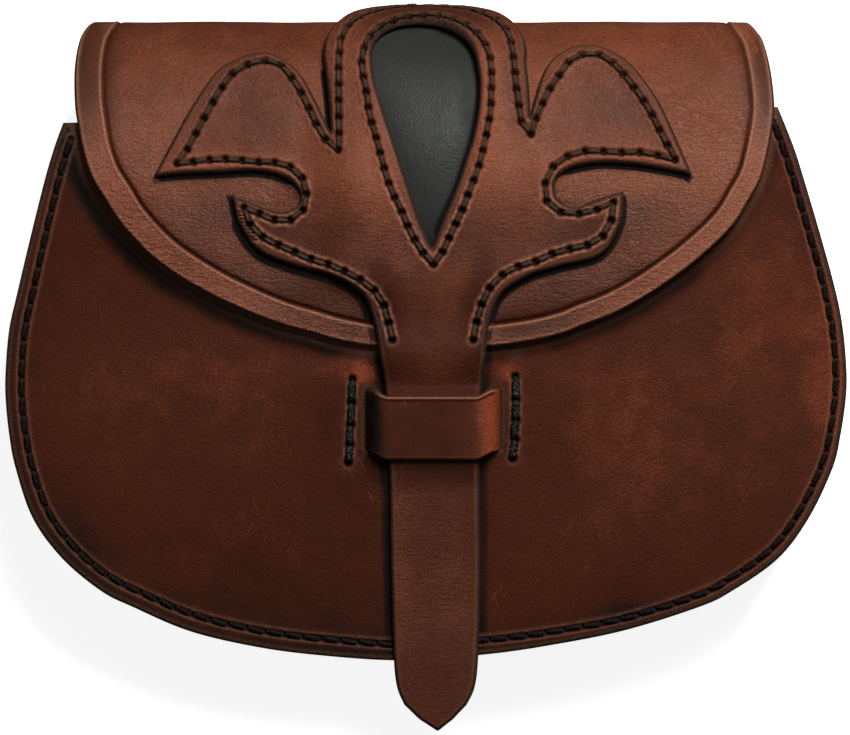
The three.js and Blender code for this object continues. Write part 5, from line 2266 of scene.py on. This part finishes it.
        # Painted shadow on the strap under the keeper, and painted shade just above it.
        under_keeper, over_keeper = (
            spaced(OVER.develop([(-12.0, up), (15.5, up)]), 0.8) for up in self.keeper_painted_shade
        )
        sheet = LeatherSheet(
            name="overlay_leather",
            edge=self._edge(),
            surface=OVER,
            thickness=self.thickness,
            openings=[self.window_ring()],
            works=[
                seam,
                ToolMarks(*OVER.develop(self.left_marks), lean=-25.0),
                ToolMarks(*OVER.develop(self.right_marks), lean=25.0),
                *(Mound(spot) for spot in OVER.develop(self.mounds)),
                PaintedShadeBand(under_keeper, 6.0, 0.6, soft=1.0),
                PaintedShadeBand(over_keeper, 1.5, 0.2),
                Swell(height=0.08, length=30.0, seed=9),
            ],
            round_over=1.3,
            grid=1.9,
            burnish=1.05,
            rim=0.3,
            shading=Shading(self.stops, 0.2, self.pools, edges=0.35, edge_reach=1.4),
        )
        piece = sheet.build(looks.overlay)
        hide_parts("applique_strap")
        on_top = over_face(OVER, self.thickness)
        thread = Thread(radius=0.5, short=0.18)
        sewn = thread.sew("overlay_thread", *seam.stitches(), on_top, looks.thread, seed=7)


@dataclass
class Inlay:
    """The black leather that shows through the overlay's window, softly padded."""

    thickness: float = 0.6
    margin: float = 4.6
    widest: float = 18.8
    crest_up: float = 58.0

    def build(self, looks: Finishes, window: np.ndarray) -> None:
        """Cuts and sets the inlay.

        Args:
            looks: The finishes.
            window: The window's ring in the flat pattern.
        """
        ring = window if ring_area(window) > 0.0 else window[::-1]
        wide = ring - left_normals(ring, closed=True) * self.margin
        clear = nearest_on(wide, ring, np.roll(ring, -1, axis=0))[0] > 0.97 * self.margin
        wide = wide[clear & (np.abs(wide[:, 0]) < self.widest)]
        sheet = LeatherSheet(
            name="inlay_leather",
            edge=spaced(np.vstack([wide, wide[:1]]), 1.2)[:-1],
            surface=FOLD,
            thickness=self.thickness,
            under=GAP,
            works=[
                Pillow(ring, crest=float(FOLD.station_of(self.crest_up, 0.0))),
                # Painted shadow from the window's right side and top.
                PaintedShadeBand(ring[ring[:, 0] > 3.0], 1.7, 1.5, soft=0.9),
            ],
            round_over=0.3,
            grid=1.8,
            # Darker down the window and at its top, and a painted shade that dims the highlight on
            # its right: dye with painted shade.
            shading=Shading(
                ((60.0, 0.2), (45.0, 0.6), (30.0, 1.6)),
                pools=((10.5, 66.0, 4.0, 12.0, 0.9), (0.0, 78.0, 14.0, 7.0, 0.5)),
            ),
        )
        piece = sheet.build(looks.inlay)
        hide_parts("inlay")


@dataclass
class Keeper:
    """The band that holds the strap down; its ends pass through the front panel."""

    thickness: float = 2.0
    width: float = 15.9
    middle: float = -13.3
    drag: float = -2.0
    strap_clear: float = 3.55
    tab_depth: float = 5.5
    tab_ends: tuple = (-23.5, 26.2)
    slits: tuple = (-14.9, 17.4)
    shoulders: tuple = (-11.6, 15.5)

    def build(self, looks: Finishes) -> None:
        """Bends and sets the keeper.

        Args:
            looks: The finishes.
        """
        panel = float(PANEL.face(np.array([0.0]), np.array([-14.0]))[0])
        top, tab = panel + self.strap_clear, panel - self.tab_depth
        west = [(self.tab_ends[0], tab, 0.0), (self.slits[0], tab, 1.2)]
        over = [(self.shoulders[0], top, 2.2), (self.shoulders[1], top, 2.6)]
        east = [(self.slits[1], tab, 1.2), (self.tab_ends[1], tab, 0.0)]
        line = spaced(rounded_corners([*west, *over, *east]), 0.5)
        share = eased(line[:, 0], -12.8, -9.8) * (1.0 - eased(line[:, 0], 12.6, 15.8))
        surface = BandSurface(line, across_up=True, centre=self.middle, sway=self.drag * share)
        length, half = float(runs_of(line)[-1]), self.width / 2.0
        ends = [(0.3 * length, half - 1.0), (0.72 * length, half - 1.0)]
        # A painted highlight along the keeper's top edge, over a shallow groove.
        highlight_line = spaced(np.array(ends), 0.5)
        top_line = Crease(highlight_line, depth=0.12, width=0.3, ridge=0.15, paler=0.0)
        sheet = LeatherSheet(
            name="keeper_leather",
            edge=cut_corners((0.0, -half), (length, half), 0.6, 0.9),
            surface=surface,
            thickness=self.thickness,
            works=[top_line, Swell(height=0.09, length=16.0, seed=21)],
            round_over=0.75,
            grid=0.9,
            rim=0.1,
            # Painted shade on the left slope, which faces away from the light, and painted light on
            # the right bend.
            shading=Shading(
                ((0.0, 1.17),),
                pools=((-13.0, -12.0, 1.8, 30.0, 0.8), (18.2, -14.0, 6.0, 30.0, -1.25)),
            ),
        )
        piece = sheet.build(looks.keeper)
        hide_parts("keeper")


@dataclass
class BeltLoop:
    """One of the two loops on the back, sewn down at both feet."""

    side: str
    x: float
    width: float = 24.0
    thickness: float = 2.5
    up: float = 64.0
    down: float = -24.0
    foot: float = 12.6
    slope: float = 4.0

    def build(self, looks: Finishes) -> None:
        """Bends, sews and sets the loop.

        Args:
            looks: The finishes.
        """
        seat = FOLD.back_face - GAP
        high, low = self.up - self.foot, self.down + self.foot
        head = [(self.up, seat, 0.0), (high, seat, 3.0), (high - self.slope, self.thickness, 0.6)]
        tail = [(low + self.slope, self.thickness, 0.6), (low, seat, 3.0), (self.down, seat, 0.0)]
        line = spaced(rounded_corners(head + tail), 0.6)
        surface = BandSurface(line, across_up=False, centre=self.x, sway=np.zeros(len(line)))
        length = float(runs_of(line)[-1])
        half = self.width / 2.0
        across, inner = half - 2.8, self.foot - 3.8
        boxes = []
        for start, end in ((2.6, inner), (length - inner, length - 2.6)):
            boxes.append(cut_corners((start, -across), (end, across), 0.0, 4.2))
        seam = Seam(boxes, closed=True)
        sheet = LeatherSheet(
            name=f"belt_loop_{self.side}_leather",
            edge=cut_corners((0.0, -half), (length, half), 2.0, 0.9),
            surface=surface,
            thickness=self.thickness,
            works=[seam],
            round_over=0.8,
            grid=1.4,
            shading=Shading(((0.0, 0.8),)),
        )
        piece = sheet.build(looks.loop)
        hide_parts(f"belt_loop_{self.side}")
        on_top = over_face(surface, self.thickness)
        name = f"belt_loop_{self.side}_thread"
        thread = Thread().sew(name, *seam.stitches(), on_top, looks.thread, seed=12)


# ---- the studio


@dataclass
class Lamp:
    """A soft rectangular lamp that looks at the bag.

    Args:
        name: Name of the lamp.
        place: Where it hangs, in metres.
        size: Its width and height, in metres.
        power: Its power in watts.
        colour: Its colour.
    """

    name: str
    place: tuple
    size: tuple
    power: float
    colour: Colour = (1.0, 1.0, 1.0)

    def hang(self, target: Vector) -> None:
        """Hangs the lamp and turns it to the bag.

        Args:
            target: What it looks at.
        """
        light = bpy.data.lights.new(self.name, "AREA")
        light.shape = "RECTANGLE"
        light.size, light.size_y = self.size
        light.energy = self.power
        light.color = self.colour
        lamp = bpy.data.objects.new(self.name, light)
        lamp.location = self.place
        lamp.rotation_euler = (target - Vector(self.place)).to_track_quat("-Z", "Y").to_euler()
        bpy.context.scene.collection.objects.link(lamp)


@dataclass
class Studio:
    """The table, the lamps and the camera, straight above the bag."""

    distance: float = 2.5
    view_width: float = 0.2125
    sensor: float = 36.0
    aside: tuple = (-0.00025, -0.00032)
    table_size: float = 6.0
    world_light: float = 0.06

    def _table(self) -> None:
        """Lays the table top that the bag rests on."""
        half = self.table_size / 2.0
        corners = [(-half, -half, 0.0), (half, -half, 0.0), (half, half, 0.0), (-half, half, 0.0)]
        mesh = bpy.data.meshes.new("table_top")
        mesh.from_pydata(corners, [], [(0, 1, 2, 3)])
        mesh.materials.append(TableTop().material())
        table = bpy.data.objects.new("table_top", mesh)
        bpy.context.scene.collection.objects.link(table)
        table.visible_diffuse = table.visible_glossy = False

    def _camera(self, middle: Vector) -> None:
        """Sets the camera over the bag.

        Args:
            middle: Middle of the bag's packed box.
        """
        lens = bpy.data.cameras.new("over_the_bag")
        lens.type = "PERSP"
        lens.sensor_width = self.sensor
        lens.lens = self.sensor * self.distance / self.view_width
        lens.clip_start, lens.clip_end = 0.05, 20.0
        camera = bpy.data.objects.new("over_the_bag", lens)
        seam = PANEL.seam_face * METRES
        x, y = middle.x + self.aside[0], middle.y + self.aside[1]
        camera.location = (x, y, seam + self.distance)
        bpy.context.scene.collection.objects.link(camera)
        bpy.context.scene.camera = camera

    def build(self) -> None:
        """Sets up the studio round the bag."""
        low, high = (Vector(corner) for corner in CAD_BOX)
        middle = (low + high) / 2.0
        self._table()
        self._camera(middle)
        for lamp in (
            Lamp("key", (0.24, 0.62, 1.31), (0.40, 0.40), 12.0),
            Lamp("high", (0.42, 1.05, 1.05), (0.45, 0.35), 14.5),
            Lamp("fill", (-0.50, -0.50, 1.40), (1.1, 1.1), 0.9, (0.95, 0.97, 1.0)),
        ):
            lamp.hang(middle)
        world = bpy.data.worlds.new("studio")
        world.use_nodes = True
        shade = world.node_tree.nodes["Background"]
        shade.inputs["Color"].default_value = (1.0, 1.0, 1.0, 1.0)
        shade.inputs["Strength"].default_value = self.world_light
        bpy.context.scene.world = world
        bpy.context.scene.view_settings.view_transform = "Standard"


def main() -> None:
    """Builds the bag's pieces in order, then the studio."""
    logging.basicConfig(level=logging.INFO, format="%(name)s: %(message)s")
    looks = Finishes()
    overlay = Overlay()
    FrontPanel().build(looks)
    Gusset().build(looks)
    BackAndFlap().build(looks)
    overlay.build(looks)
    Inlay().build(looks, overlay.window_ring())
    Keeper().build(looks)
    BeltLoop("left", -46.0).build(looks)
    BeltLoop("right", 46.0).build(looks)
    Studio().build()


if __name__ == "__main__":
    main()
